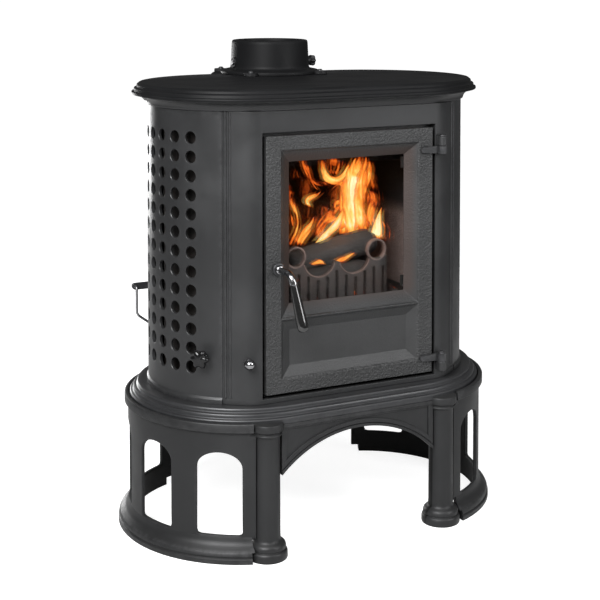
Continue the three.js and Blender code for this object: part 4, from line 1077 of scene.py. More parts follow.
def star_knob(draft: Draft, start: Vector, toward: Vector, radius: float, length: float) -> None:
    """Adds a cast knob with six soft lobes.

    Args:
        draft: The mesh that takes it.
        start: Where its neck starts.
        toward: The way it points.
        radius: Radius over the lobes.
        length: Its length.
    """
    spot = set_along(start, toward)
    profile = rounded([(0.02, 0), (0.62, 0), (0.6, 0.3), (0.84, 0.38), (0.97, 0.5), (1.0, 0.72), (0.86, 0.9),
                       (0.56, 0.98), (0.02, 1.0)], 0.08, 2)
    rows = []
    for share, up in profile:
        lobes = 0.13 * max(0.0, min(1.0, (up - 0.32) * 9)) * min(1.0, share * 1.4)
        ring = []
        for a in smooth_steps(0.0, math.tau, 73)[:-1]:
            size = radius * (share * (1 - lobes) + share * lobes * math.cos(6 * a))
            ring.append(spot(size * math.cos(a), size * math.sin(a), up * length))
        rows.append(ring)
    draft.solid(rows)


def screw(draft: Draft, foot: Vector, toward: Vector, radius: float = 4.2) -> None:
    """Adds a domed screw head with a slot."""
    spot = set_along(foot, toward)
    dome = [(radius, 0), (radius, 0.8), (radius * 0.86, 1.8), (radius * 0.5, 2.5), (0, 2.7)]
    draft.turned(dome, foot, toward, 24)
    lip = [(-radius * 0.7, 0.45), (radius * 0.7, 0.45), (radius * 0.55, 1.3), (-radius * 0.55, 1.3)]
    for way in (-1, 1):
        corners = [[spot(x, way * y, z) for x, y in lip] for z in (2.0, 2.85)]
        draft.skin(corners)
        draft.cap(corners[1])


# ------------------------------------------------------------------ stand
@dataclass
class Stand:
    """Arcaded stand: two curved skirts and a front arch between two columns.

    The profiles hold radii of the round ends, or of a column, and heights. Each rail holds how far it
    starts and ends below the top and how far it stands proud. A strip backs the seam at each column.
    """

    shop: Workshop
    wall: float = 171.0
    wall_inside: float = 165.0
    windows: int = 4
    pitch: float = 35.6
    first: float = 54.7
    opening_half: float = 32.0
    sill: float = 34.0
    crown: float = 149.0
    rise: float = 22.0
    foot: float = 29.0
    head: float = 177.0
    front_angle: float = 71.7
    rear_angle: float = -70.5
    last_station: float = 66.4
    heel: float = 4.2
    toe_front: float = 168.7
    slope_front: float = 164.4
    rim_front: float = 163.2
    column: Plan = (139.5, -158.0)
    strip: tuple[Point, Point] = ((148.0, -155.5, 31.0), (162.0, -150.0, 177.0))
    arch_radius: float = 171.6
    arch_middle: float = -8.6
    span: float = 121.0
    face: float = -164.0
    top: float = 184.0
    apron: float = 8.0
    rails: tuple[Point, ...] = ((5.4, 0.0, 3.5), (8.2, 5.9, 1.7))
    sole: tuple[Plan, ...] = ((165.2, 11), (170.9, 11), (170.9, 32.6), (165.2, 32.6))
    toe: tuple[Plan, ...] = (
        (165.2, 0), (184.8, 0), (185.8, 1), (185.8, 6.6), (184.8, 7.6), (183.6, 8.4), (183.6, 9.5),
        (184.6, 10.4), (184.6, 12), (182.8, 15.4), (165.2, 15.4))
    slope: tuple[Plan, ...] = (
        (165.2, 15.3), (182.8, 15.3), (179.8, 18.4), (176.3, 21.2), (173.8, 24.4), (172.3, 28), (171.5, 31),
        (170.9, 32.6), (165.2, 32.6))
    rim: tuple[Plan, ...] = (
        (165.1, 172), (170.6, 174.4), (171.2, 176), (172.4, 176.9), (175, 177.1), (176, 178), (176, 188.3),
        (175.3, 189.5), (174.2, 190), (171.4, 190), (170.3, 189.5), (170, 188.6), (170, 184), (153, 184),
        (153, 179))
    turning: tuple[Plan, ...] = (
        (0, 0), (26.6, 0), (27.6, 0.8), (28, 2), (28, 9), (27.4, 11.2), (26.2, 12.6), (25.1, 13.1),
        (24.9, 13.6), (25.2, 14.2), (25.7, 15.6), (25.6, 18.4), (24.6, 21), (22.6, 23), (20.4, 24.4),
        (19.1, 26), (18.4, 28.6), (18, 34), (17.8, 70), (17.6, 110), (17.5, 150), (17.6, 168), (18.4, 170.2),
        (20.2, 171), (20.9, 172.2), (20.5, 173.4), (19.2, 174.2), (19.1, 175.4), (20.6, 176.8), (22, 177.8),
        (22.5, 179.2), (22.5, 186.4), (21.9, 187.7), (20.6, 188.2), (0, 188.2))

    def dress(self) -> None:
        """Builds the whole stand."""
        for side in Side:
            self._skirt(side)
        self._front()

    def _skirt(self, side: Side) -> None:
        """Builds one curved casting with its four arched windows."""
        draft = Draft()
        wall = PiercedWall(side.value, self.wall, self.wall_inside, 1.0)
        middle_z = (self.foot + self.head) / 2
        foot, head = self.foot - middle_z, self.head - middle_z
        outline = arch_outline(self.opening_half, self.sill - middle_z, self.crown - middle_z, self.rise)
        for k in range(self.windows):
            angle = self.first - k * self.pitch
            rear = self.rear_angle - angle if k == self.windows - 1 else -self.pitch / 2
            front = self.front_angle - angle if k == 0 else self.pitch / 2
            wall.cell(draft, outline, (angle, middle_z), (rear, front, foot, head), 4)
        section = [(self.wall, self.foot), (self.wall, self.head), (self.wall_inside, self.head),
                   (self.wall_inside, self.foot)]
        for angle in (self.rear_angle, self.front_angle):
            draft.cap([wall.spot(r, angle, z) for r, z in section])
        ahead = [*smooth_steps(self.rear_angle + self.heel, self.last_station, 58), self.front_angle]
        behind = smooth_steps(self.rear_angle, self.rear_angle + self.heel + 0.2, 5)
        whole = [*smooth_steps(self.rear_angle, self.last_station, 58), self.front_angle]
        end_sweep(draft, self.toe, side.value, ahead, self.toe_front)
        end_sweep(draft, self.slope, side.value, ahead, self.slope_front)
        end_sweep(draft, self.sole, side.value, behind)
        end_sweep(draft, self.rim, side.value, whole, self.rim_front)
        draft.build(f"stand_skirt_{side.word}", self.shop["stand"], "stove", Slot.IRON,
                    stands_for=[f"skirt_{side.word}"])

    def _arch(self, x: float, beyond: float = 0.0) -> float:
        """Height of the front arch, or of a line above it, at a place along X."""
        return self.arch_middle + math.sqrt((self.arch_radius + beyond) ** 2 - x * x)

    def _front(self) -> None:
        """Builds the front casting: apron with a raised arch, and two columns."""
        draft = Draft()
        span, face, top = self.span, self.face, self.top
        xs = smooth_steps(-span, span, 49)
        draft.slab(xs, self._arch, lambda x: top, face, face + self.apron)
        draft.slab(xs, lambda x: self._arch(x) - 0.05, lambda x: self._arch(x, 3.6), face - 3.6, face + 1)
        draft.slab(xs, lambda x: self._arch(x, 4.6), lambda x: self._arch(x, 10.2), face - 2.4, face + 1)
        for below, under, proud in self.rails:
            draft.block((-span, face - proud, top - below), (span, face + 1, top - under))
        for side in (-1, 1):
            near, far = sorted((side * (span - 7.5), side * span))
            draft.slab(smooth_steps(near, far, 4), lambda x: self._arch(x, 9.4), lambda x: top - 5,
                       face - 2, face + 1)
        (x0, front, foot), (x1, back, head) = self.strip
        for side in (-1, 1):
            draft.turned(self.turning, Vector((side * self.column[0], self.column[1], 0)), UP, 56)
            near, far = sorted((side * x0, side * x1))
            draft.block((near, front, foot), (far, back, head))
        draft.build("stand_arch", self.shop["stand"], "stove", Slot.IRON, 0.5, stands_for=["stand_front"])


@dataclass
class BasePlate:
    """Stepped plate between the stand and the body, hollow beneath."""

    shop: Workshop
    profile: tuple[Plan, ...] = (
        (144, 198), (146, 198), (146, 184.3), (167.4, 184.3), (168, 184.9), (168, 191.2), (167, 192.6),
        (165.2, 193.2), (164.2, 193.4), (163.4, 194.4), (163.4, 197.4), (162.4, 199), (160.4, 199.8),
        (158.6, 200), (157.6, 201.2), (157.6, 203.8), (156.6, 205.3), (154.5, 206), (150, 206))

    def dress(self) -> None:
        """Builds the plate."""
        draft = Draft()
        draft.solid([[(x, y, z) for x, y in oval(r)] for r, z in self.profile])
        draft.build("base_moulding", self.shop["moulding"], "stove", Slot.IRON, stands_for=["base_plate"])


# ------------------------------------------------------------------ body
SMOKE_WAY = (62.0, 541.0)    # half width and sill of the opening in the rear, up to the top plate


@dataclass
class Body:
    """Perforated side panels, front frame and back panel.

    `corner` holds the two handles of the curve from the flat front to the seam, and `lip` the Y of the
    door stop's front, step and back.
    """

    shop: Workshop
    radius: float = 141.0
    foot: float = 206.3
    top: float = 612.7
    wall: float = 5.0
    seam: float = 54.1
    seam_lap: float = 0.9
    seam_gap: float = 0.25
    columns: int = 7
    rows: int = 13
    column_pitch: float = 11.6
    row_pitch: float = 26.7
    first_row: float = 254.0
    hole: float = 8.75
    opening_half: float = 138.5
    opening: Plan = (213.0, 582.5)
    hinge: Plan = (146.0, -149.0)
    lug: float = 14.0
    lug_feet: Plan = (551.0, 220.0)
    frame_wall: float = 9.0
    corner: tuple[Plan, Plan] = ((158.0, -141.0), (169.0, -127.6))
    lip: Point = (-132.0, -126.0, -120.0)
    lip_half: float = 123.5
    lip_lap: float = 15.0
    lip_edge: float = 6.0
    back_wall: float = 6.0
    bead: float = 2.0
    bead_edge: float = 6.0
    bead_top: float = 9.0
    seam_beads: Plan = (56.0, 58.6)
    seam_bead: float = 2.2

    def dress(self) -> None:
        """Builds the shell's castings."""
        for side in Side:
            self._panel(side)
        self._front_frame()
        self._back()

    def _face(self, z: float) -> float:
        """Radius of the outer face, with its foot bead."""
        return self.radius + self.bead * max(0.0, min(1.0, (self.foot + self.bead_top - z) / 3))

    def _foot_lines(self) -> list[float]:
        """Heights at which the foot bead starts, turns and ends."""
        return [self.foot, self.foot + self.bead_edge, self.foot + self.bead_top]

    def _panel(self, side: Side) -> None:
        """Builds one side panel with its 91 air holes."""
        draft = Draft()
        wall = PiercedWall(side.value, self.radius, self.radius - self.wall, 0.6)
        half_a, half_z = self.column_pitch / 2, self.row_pitch / 2
        box = (-half_a, half_a, -half_z, half_z)
        outline = circle(self.hole, 24)
        middles = [(k - self.columns // 2) * self.column_pitch for k in range(self.columns)]
        rows = [self.first_row + k * self.row_pitch for k in range(self.rows)]
        for angle in middles:
            for z in rows:
                wall.cell(draft, outline, (angle, z), box, 1)
        flat = thrown_out([(math.degrees(math.asin(s / self.radius)), z) for s, z in outline], box)
        spots_a = sorted({round(a, 5) for a, z in flat if abs(abs(z) - half_z) < 1e-6})
        spots_z = sorted({round(z, 5) for a, z in flat if abs(abs(a) - half_a) < 1e-6})
        inside_a = sorted({round(m + a, 4) for m in middles for a in spots_a})
        inside_z = sorted({round(m + z, 4) for m in rows for z in spots_z})
        before = smooth_steps(-self.seam, inside_a[0], 6)
        after = smooth_steps(inside_a[-1], self.seam, 6)
        feet = self._foot_lines()
        below = [*feet, (feet[-1] + inside_z[0]) / 2, inside_z[0]]
        above = smooth_steps(inside_z[-1], self.top, 3)
        angles = [*before[:-1], *inside_a, *after[1:]]
        heights = [*below[:-1], *inside_z, *above[1:]]
        faces = (self._face, lambda z: self.radius - self.wall)
        for face in faces:
            wall.patch(draft, face, angles, below)
            wall.patch(draft, face, angles, above)
            wall.patch(draft, face, before, inside_z)
            wall.patch(draft, face, after, inside_z)
        wall.rim(draft, faces, angles, heights)
        draft.build(f"panel_{side.word}", self.shop["body"], "stove", Slot.IRON,
                    stands_for=[f"side_panel_{side.word}"])

    def _shell_profile(self, wall: float) -> list[Plan]:
        """Closed section of the curved shell."""
        inside, proud = self.radius - wall, self.radius + self.bead
        low, edge, top = self._foot_lines()
        return [(inside, low), (proud, low), (proud, edge), (proud - 0.6, edge + 1.4), (self.radius, top),
                (self.radius, self.top), (inside, self.top)]

    def _front_frame(self) -> None:
        """Builds the raised front with its stop lip, corners, seam beads and hinge lugs."""
        draft = Draft()
        low, high = self.opening
        right = self._corner()
        left = [(-x, y, nx, ny, flat) for x, y, nx, ny, flat in reversed(right)]
        foot, edge, top = self._foot_lines()
        jamb = [low, top, high]
        whole = left + right
        depths = (0.0, self.frame_wall)
        for stations, heights in ((whole, [foot, edge, low]), (whole, [high, self.top]), (left, jamb),
                                  (right, jamb)):
            for depth in depths:
                draft.skin([[self._shell_spot(s, z, depth) for s in stations] for z in heights], around=False)
        rims = [[(s, z) for s in whole] for z in (foot, self.top)]
        rims += [[(s, z) for z in (foot, edge, *jamb, self.top)] for s in (left[0], right[-1])]
        rims += [[(s, z) for z in jamb] for s in (left[-1], right[0])]
        rims += [[(left[-1], z), (right[0], z)] for z in (low, high)]
        for rim in rims:
            draft.skin([[self._shell_spot(s, z, depth) for s, z in rim] for depth in depths], around=False)
        front, step, back = self.lip
        outer = (self.opening_half + self.lip_edge, foot, high + self.lip_edge)
        inner = (self.lip_half, low + self.lip_lap, high - self.lip_lap)
        mouth = (self.opening_half, low, high)
        around = ((outer, front), (outer, back), (inner, back), (inner, step), (mouth, step), (mouth, front))
        draft.skin([rectangle(*size, y) for size, y in around], loop=True)
        for side in (-1, 1):
            for angle in self.seam_beads:
                x, y = end_point(side, self.radius, angle)
                draft.rod(Vector((x, y, top)), UP, self.seam_bead, self.top - self.foot - self.bead_top, 16)
        for start in self.lug_feet:
            self._lug(draft, start)
        draft.build("front_casting", self.shop["body"], "stove", Slot.IRON, 0.8, stands_for=["front_frame"])

    def _corner(self) -> list[tuple[float, float, float, float, float]]:
        """Stations of the right corner, from the opening to the seam.

        Returns:
            X and Y of the outer face, its direction inward and how flat it lies there.
        """
        marks = [(self.opening_half, -self.radius), *self.corner,
                 end_point(1, self.radius, self.seam + self.seam_lap)]
        stations = []
        for t in smooth_steps(0.0, 1.0, 16):
            spot, along = curve_at(marks, t)
            inward = Vector((-along.y, along.x)).normalized()
            stations.append((spot.x, spot.y, inward.x, inward.y, 1 - t))
        return stations

    def _shell_spot(self, station: Sequence[float], z: float, depth: float) -> Point:
        """A point of the front frame at a station, under its outer face."""
        x, y, nx, ny, flat = station
        inward = depth - (self._face(z) - self.radius) * (1 - flat)
        return x + nx * inward, y + ny * inward, z

    def _lug(self, draft: Draft, start: float) -> None:
        """Adds one hinge lug."""
        x, y = self.hinge
        tall = self.lug
        draft.turned([(0, 0), (5.7, 0), (6.5, 0.8), (6.5, tall - 0.8), (5.7, tall), (0, tall)],
                     Vector((x, y, start)), UP, 32)
        draft.block((x - 5.5, y, start + 0.3), (x + 7.6, -self.radius + 3, start + tall - 0.3))

    def _back(self) -> None:
        """Builds the back panel with its two corners and the smoke way at its head."""
        draft = Draft()
        angles = smooth_steps(-self.seam - self.seam_gap, -90, 16)
        profile = self._shell_profile(self.back_wall)
        rows = [[(*end_point(1, r, a), z) for r, z in profile] for a in angles]
        half, sill = SMOKE_WAY
        notched = [*profile[:-2], *((r, sill) for r, z in profile[-2:])]
        for x, section in ((half + 8, profile), (half, profile), (half, notched), (0, notched),
                           (-half, notched), (-half, profile), (-half - 8, profile)):
            rows.append([(x, r, z) for r, z in section])
        rows += [[(*end_point(-1, r, a), z) for r, z in profile] for a in reversed(angles)]
        draft.solid(rows)
        draft.build("back_casting", self.shop["body"], "stove", Slot.IRON, stands_for=["back_panel"])


# ------------------------------------------------------------------ crown and flue
@dataclass
class Crown:
    """Coved ring and stepped top plate with its rear lobe."""

    shop: Workshop
    foot: float = 627.0
    top: float = 643.7
    edge: float = 164.0
    lobe_half: float = 84.0
    lobe_rear: float = 215.0
    lobe_corner: float = 20.0
    bore: float = 54.0

    def dress(self) -> None:
        """Builds both castings."""
        self._ring()
        self._plate()

    def _ring(self) -> None:
        """Builds the coved ring, which is open at the rear where the smoke leaves."""
        profile = [(128, 626.7), (128, 613.3), (144, 613.3), (144.6, 614.2), (144.8, 615.6), (145.3, 617.2),
                   (146.4, 619.2), (148.1, 621.2), (150.2, 622.9), (152.2, 624.1), (153.2, 624.9),
                   (153.5, 626), (153.5, 626.7)]
        draft = Draft()
        turns = smooth_steps(-90, 90, 41)
        rows = [[(*end_point(1, r, a), z) for r, z in profile] for a in turns]
        rows += [[(*end_point(-1, r, a), z) for r, z in profile] for a in reversed(turns)]
        edges = [[(x, r, z) for r, z in profile] for x in (SMOKE_WAY[0], -SMOKE_WAY[0])]
        draft.solid([edges[0], *rows, edges[1]])
        draft.build("crown_cove", self.shop["body"], "stove", Slot.IRON, stands_for=["crown_ring"])

    def _outline(self, inset: float) -> list[Plan]:
        """The plate's outline with its lobe, set in from the edge."""
        radius = self.edge - inset
        half, rear = self.lobe_half - inset, self.lobe_rear - inset
        corner = self.lobe_corner - inset * 0.8
        bend = arc((half - corner, rear - corner), corner, 0.0, math.pi / 2, 9)
        end = [end_point(1, radius, angle) for angle in smooth_steps(90, -90, 45)]
        return with_mirror([*end, (half, radius), *bend])

    def _plate(self) -> None:
        """Builds the top plate."""
        steps = [(7, 0), (0.6, 0), (0, 1.2), (0.4, 3.8), (3.4, 4.9), (4, 9), (7.4, 10.4), (8, 13.8)]
        edge = [(inset, self.foot + rise) for inset, rise in steps]
        profile = rounded([*edge, (11.6, self.top), (15.5, self.top)], 0.7, 2)
        draft = Draft()
        rows = [[(x, y, z) for x, y in self._outline(inset)] for inset, z in profile]
        draft.skin(rows)
        bore = circle(self.bore, 48, (0, FLUE_Y))
        for row, z in ((rows[0], self.foot), (rows[-1], self.top)):
            draft.plate(row, [[(x, y, z) for x, y in bore]])
        draft.skin([[(x, y, z) for x, y in bore] for z in (self.foot, self.top)])
        # the top plate takes the darker copy of the enamel, which is painted shade
        draft.build("top_casting", self.shop["crown"], "stove", Slot.IRON, stands_for=["top_plate"])


@dataclass
class Flue:
    """Flue collar with its lugs and screws, and the damper's knob."""

    shop: Workshop
    seat: float = 644.0
    bore: float = 54.0
    tube: float = 60.0
    height: float = 52.7
    lug_reach: float = 84.0
    lug_top: float = 5.0
    spindle_z: float = 661.7

    def dress(self) -> None:
        """Builds the collar, its screws and the knob."""
        self._collar()
        draft = Draft()
        for foot in self._lugs(self.seat + self.lug_top):
            screw(draft, foot, UP)
        draft.build("collar_screws", self.shop["small"], "stove", Slot.STEEL)
        knob = Draft()
        star_knob(knob, Vector((65, FLUE_Y, self.spindle_z)), Vector((1, 0, 0)), 9.6, 15)
        knob.build("damper_star", self.shop["small"], "damper", Slot.IRON, stands_for=["damper_knob"])

    def _lugs(self, height: float) -> list[Vector]:
        """Where the four lugs stand, at a height."""
        turns = [math.radians(angle) for angle in (45, 135, 225, 315)]
        return [Vector((self.lug_reach * math.cos(a), FLUE_Y + self.lug_reach * math.sin(a), height))
                for a in turns]

    def _collar(self) -> None:
        """Builds the collar casting."""
        h, flare = self.height, self.tube + 2.3
        profile = rounded([(self.bore, 0), (77.6, 0), (78, 0.6), (78, 4), (76.5, 5.4), (71, 6.6),
                           (flare + 2.4, 7.6), (flare + 0.6, 9.6), (flare, 13), (self.tube + 0.5, h - 5),
                           (self.tube, h - 1.6), (self.tube - 1.2, h - 0.4), (self.tube - 2.6, h),
                           (self.bore + 1.4, h), (self.bore + 0.2, h - 1), (self.bore, h - 3),
                           (self.bore, 0)], 0.8, 2)
        draft = Draft()
        draft.turned(profile, Vector((0, FLUE_Y, self.seat)), UP, 96)
        lug = [(10.6, 0), (11, 0.5), (10.8, 4.2), (10.1, self.lug_top), (0, self.lug_top)]
        for foot in self._lugs(self.seat):
            draft.turned(lug, foot, UP, 32)
        for side in (-1, 1):
            spot = Vector((side * (self.tube - 3), FLUE_Y, self.spindle_z))
            draft.turned([(8, 0), (8, 6.2), (7.2, 7), (4.3, 7), (4.3, 3)], spot, Vector((side, 0, 0)), 32)
        # the collar takes the same darker copy of the enamel, which is painted shade
        draft.build("collar_casting", self.shop["crown"], "stove", Slot.IRON, stands_for=["flue_collar"])


# ------------------------------------------------------------------ door
@dataclass
class Door:
    """Door casting with a window funnel over a sunk lower panel."""

    shop: Workshop
    half: float = 133.5
    low: float = 218.0
    high: float = 577.5
    front: float = -142.0
    back: float = -131.0
    field_half: float = 111.0
    field_low: float = 237.0
    crest: float = 322.0
    field_high: float = 558.0
    window: tuple[float, float, float] = (92.0, 341.0, 539.0)
    window_y: float = -128.0
    panel: tuple[float, float, float] = (94.0, 254.0, 305.0)
    panel_y: float = -133.0
    pad_edge: float = 17.0

    def _crested(self, half: float, low: float, high: float, y: float) -> list[Point]:
        """An upright rectangle with one more point on each side, at the crest."""
        return [(-half, y, low), (half, y, low), (half, y, self.crest), (half, y, high), (-half, y, high),
                (-half, y, self.crest)]

    def dress(self) -> None:
        """Builds the casting."""
        draft = Draft()
        draft.skin([self._crested(self.half, self.low, self.high, self.back),
                    self._crested(self.half, self.low, self.high, self.front),
                    self._crested(self.field_half, self.field_low, self.field_high, self.front)])
        draft.skin([rectangle(self.field_half, self.crest, self.field_high, self.front),
                    rectangle(*self.window, self.window_y)])
        panel = rectangle(*self.panel, self.panel_y)
        draft.skin([rectangle(self.field_half, self.field_low, self.crest, self.front), panel])
        draft.cap(panel)
        pad = (116.5, self.low + self.pad_edge, self.high - self.pad_edge)
        draft.plate(rectangle(self.half, self.low, self.high, self.back), [rectangle(*pad, self.back)])
        draft.skin([rectangle(*pad, self.back), rectangle(*pad, self.window_y)])
        draft.plate(rectangle(*pad, self.window_y), [rectangle(*self.window, self.window_y)])
        draft.build("door_casting", self.shop["door"], "door", Slot.IRON, 0.9, 20.0,
                    stands_for=["door_frame"])


@dataclass
class Handle:
    """Chrome stem with a ring, and a gloss black grip."""

    shop: Workshop
    start: Point = (-115.0, -142.3, 393.0)
    stem: float = 4.5
    neck: Point = (-113.0, -185.3, 382.0)
    lean_side: float = 8.0
    lean_out: float = 12.0
    grip: tuple[Plan, ...] = (
        (0, 0), (4.6, 0), (5.3, 0.5), (5.6, 3), (6, 12), (6.7, 26), (7.4, 40), (7.8, 50), (7.9, 55),
        (7.7, 58.4), (7.1, 61), (6, 62.8), (4.4, 63.7), (2.4, 64), (0, 64))

    def dress(self) -> None:
        """Builds the stem and the grip."""
        x, y, z = self.start
        foot, neck = Vector(self.start), Vector(self.neck)
        lean = Vector((math.tan(math.radians(self.lean_side)), -math.tan(math.radians(self.lean_out)), -1))
        lean.normalize()
        boss = Draft()
        boss.turned(rounded([(0, 0), (9.6, 0), (9.6, 2), (8.8, 3.4), (7, 4), (0, 4)], 0.9), foot, FORWARD, 40)
        boss.build("handle_boss", self.shop["small"], "handle", Slot.CHROME)
        stem = Draft()
        stem.turned(rounded([(6.6, 3.9), (6.6, 5.4), (6, 7), (4.8, 8), (0, 8)], 0.9), foot, FORWARD, 32)
        path = smooth_path([(x, y - 3, z), (x, y - 22, z), (x, y - 33, z), (x + 0.4, y - 39.4, z - 3.6),
                            self.neck, tuple(neck + lean * 2)])
        stem.tube(path, lambda t: self.stem + 0.9 * t, 24)
        stem.turned([(0, -2.6), (5.5, -2.6), (6, -2), (6, 1.4), (5.5, 2), (0, 2)], neck, lean, 32)
        stem.rod(foot, -FORWARD, 4, 25, 20)
        stem.build("handle_chrome", self.shop["chrome"], "handle", Slot.CHROME, stands_for=["handle_stem"])
        grip = Draft()
        grip.turned(self.grip, neck + lean * 2.3, lean, 40)
        grip.build("handle_resin", self.shop["grip"], "handle", Slot.GRIP, stands_for=["handle_grip"])


# ------------------------------------------------------------------ small parts
@dataclass
class Controls:
    """Air control's star knob, riddling knob and the tool hook."""

    shop: Workshop
    air_angle: float = 43.6
    air_z: float = 272.0
    star: Plan = (14.0, 16.0)
    star_seat: float = 147.0
    rod: Point = (-160.0, -140.5, 266.0)
    hanger_angle: float = -46.4
    hanger_reach: float = 142.5782
    hanger_z: float = 331.0
    eye_reach: float = 35.0
    wire: float = 1.9

    def dress(self) -> None:
        """Builds each small part."""
        a = math.radians(self.air_angle)
        out = Vector((-math.cos(a), -math.sin(a), 0))
        x, y = end_point(-1, self.star_seat, self.air_angle)
        knob = Draft()
        star_knob(knob, Vector((x, y, self.air_z)), out, *self.star)
        knob.build("air_star", self.shop["knob"], "air_control", Slot.IRON, stands_for=["air_knob"])
        pull = Draft()
        pull.turned([(0, 0), (6, 0), (6.9, 0.6), (7.5, 2.2), (7.5, 5), (7.3, 6.4), (6.7, 8), (5.7, 9.6),
                     (4.2, 10.9), (2.3, 11.8), (0, 12)], Vector(self.rod), FORWARD, 40)
        pull.build("riddling_pull", self.shop["chrome"], "riddling_rod", Slot.CHROME,
                   stands_for=["riddling_knob"])
        self._hook()

    def _hook(self) -> None:
        """Builds the wire hook, which runs from behind the bracket's eye to the front and down."""
        x, y = end_point(-1, self.hanger_reach, self.hanger_angle)
        spots = [(0, 11.5, 0), (0, -4.5, 0), (0, -7.2, -2.2), (0, -7.5, -6), (0, -7.5, -20), (0, -7.5, -35),
                 (1, -7.5, -40), (4, -7.5, -44), (12, -7.5, -50), (21.5, -7.5, -57)]
        path = smooth_path([(x - self.eye_reach + u, y + v, self.hanger_z + w) for u, v, w in spots])
        draft = Draft()
        draft.tube(path, lambda t: self.wire, 16)
        draft.build("tool_hook", self.shop["steel"], "hook", Slot.STEEL, stands_for=["hanger_hook"])


# ------------------------------------------------------------------ fire
@dataclass
class LogGuard:
    """Slotted plate with two scallops and a thin ring on each shoulder; the rings and thin lines along the
    scallop edges are pale, a painted highlight where the fire catches them.
    """

    shop: Workshop
    front: float = -97.0
    back: float = -90.0
    half: float = 82.5
    foot: float = 322.4
    dip_x: float = 28.3
    dip_z: float = 390.0
    dip: float = 25.3
    shoulder: float = 384.0
    ring: tuple[float, float, float] = (66.0, 396.0, 15.9)
    ring_wall: float = 2.6
    slots: int = 11
    pitch: float = 15.3
    slot_half: float = 2.1

    def dress(self) -> None:
        """Builds the guard."""
        draft = Draft()
        outline = self._outline()
        holes = [self._slot(k) for k in range(self.slots)]
        for y in (self.front, self.back):
            draft.plate([(x, y, z) for x, z in outline], [[(x, y, z) for x, z in hole] for hole in holes])
        for loop in (outline, *holes):
            draft.skin([[(x, y, z) for x, z in loop] for y in (self.front, self.back)])
        for side in (-1, 1):
            near, far = sorted((side * (self.half - 7), side * self.half))
            draft.block((near, self.back - 0.5, self.foot), (far, self.back + 9, self.foot + 9))
        draft.build("log_guard_casting", self.shop["guard"], "stove", Slot.INNER, 0.5,
                    stands_for=["log_guard"])
        rims = Draft()
        x, z, radius = self.ring
        bore, deep = radius - self.ring_wall, self.back - self.front
        section = [(bore, 0.9), (bore + 0.5, 0.2), (bore + 1.3, 0), (radius - 1.3, 0), (radius - 0.5, 0.2),
                   (radius, 0.9), (radius, deep), (bore, deep), (bore, 0.9)]
        for side in (-1, 1):
            rims.turned(section, Vector((side * x, self.front - 0.6, z)), -FORWARD, 64)
        # painted highlight: thin pale lines along the scallop edges
        for side in (-1, 1):
            line = arc((side * self.dip_x, self.dip_z), self.dip, -0.24, 0.24 - math.pi, 25)
            rims.tube([Vector((x, self.front - 0.3, z)) for x, z in line], lambda t: 0.8, 8)
        rims.build("log_guard_rims_painted_highlight", self.shop["rims"], "stove", Slot.INNER)

    def _outline(self) -> list[Plan]:
        """The plate's edge, from its right foot over both scallops to its left foot."""
        x, z, radius = self.ring
        right = [(self.half, self.foot), (self.half, z - 8), (x + radius * 0.7, z - radius * 0.66),
                 (x, z - radius * 0.8), (x - radius * 0.7, z - radius * 0.66)]
        shoulder = math.asin((self.dip_z - self.shoulder) / self.dip)
        right += arc((self.dip_x, self.dip_z), self.dip, -0.12, shoulder - math.pi, 19)
        return with_mirror([*right, (right[-1][0] * 0.5, self.shoulder + 0.7)])

    def _slot(self, number: int) -> list[Plan]:
        """One slot, whose head follows the edge above it."""
        x = (number - (self.slots - 1) / 2) * self.pitch
        away = abs(abs(x) - self.dip_x)
        edge = self.dip_z - math.sqrt(max(self.dip ** 2 - away ** 2, 0.0))
        head = min(edge - 6.5, self.dip_z - 20)
        foot = [(x - self.slot_half, self.foot + 5), (x + self.slot_half, self.foot + 5)]
        return foot + arc((x, head), self.slot_half, 0.0, math.pi, 7)


@dataclass(frozen=True)
class Tongue:
    """One ribbon of flame.

    Its spine is a curve from its foot to its tip over two handles, in X and Z; `depth` is its foot's Y
    and `heat` says how bright it burns. `foot` and `belly` are half widths at the logs and at the widest
    place, which lies at the share `high` of the way up.
    """

    depth: float
    heat: float
    foot: float
    belly: float
    high: float
    spine: tuple[Plan, Plan, Plan, Plan]

    def at(self, t: float) -> tuple[Vector, float]:
        """The spine's point and the half width at a share of the way."""
        bulge = math.sin(math.pi * t ** (math.log(0.5) / math.log(self.high)))
        return curve_at(self.spine, t)[0], self.foot * (1 - t) ** 3 + self.belly * max(bulge, 0.0)


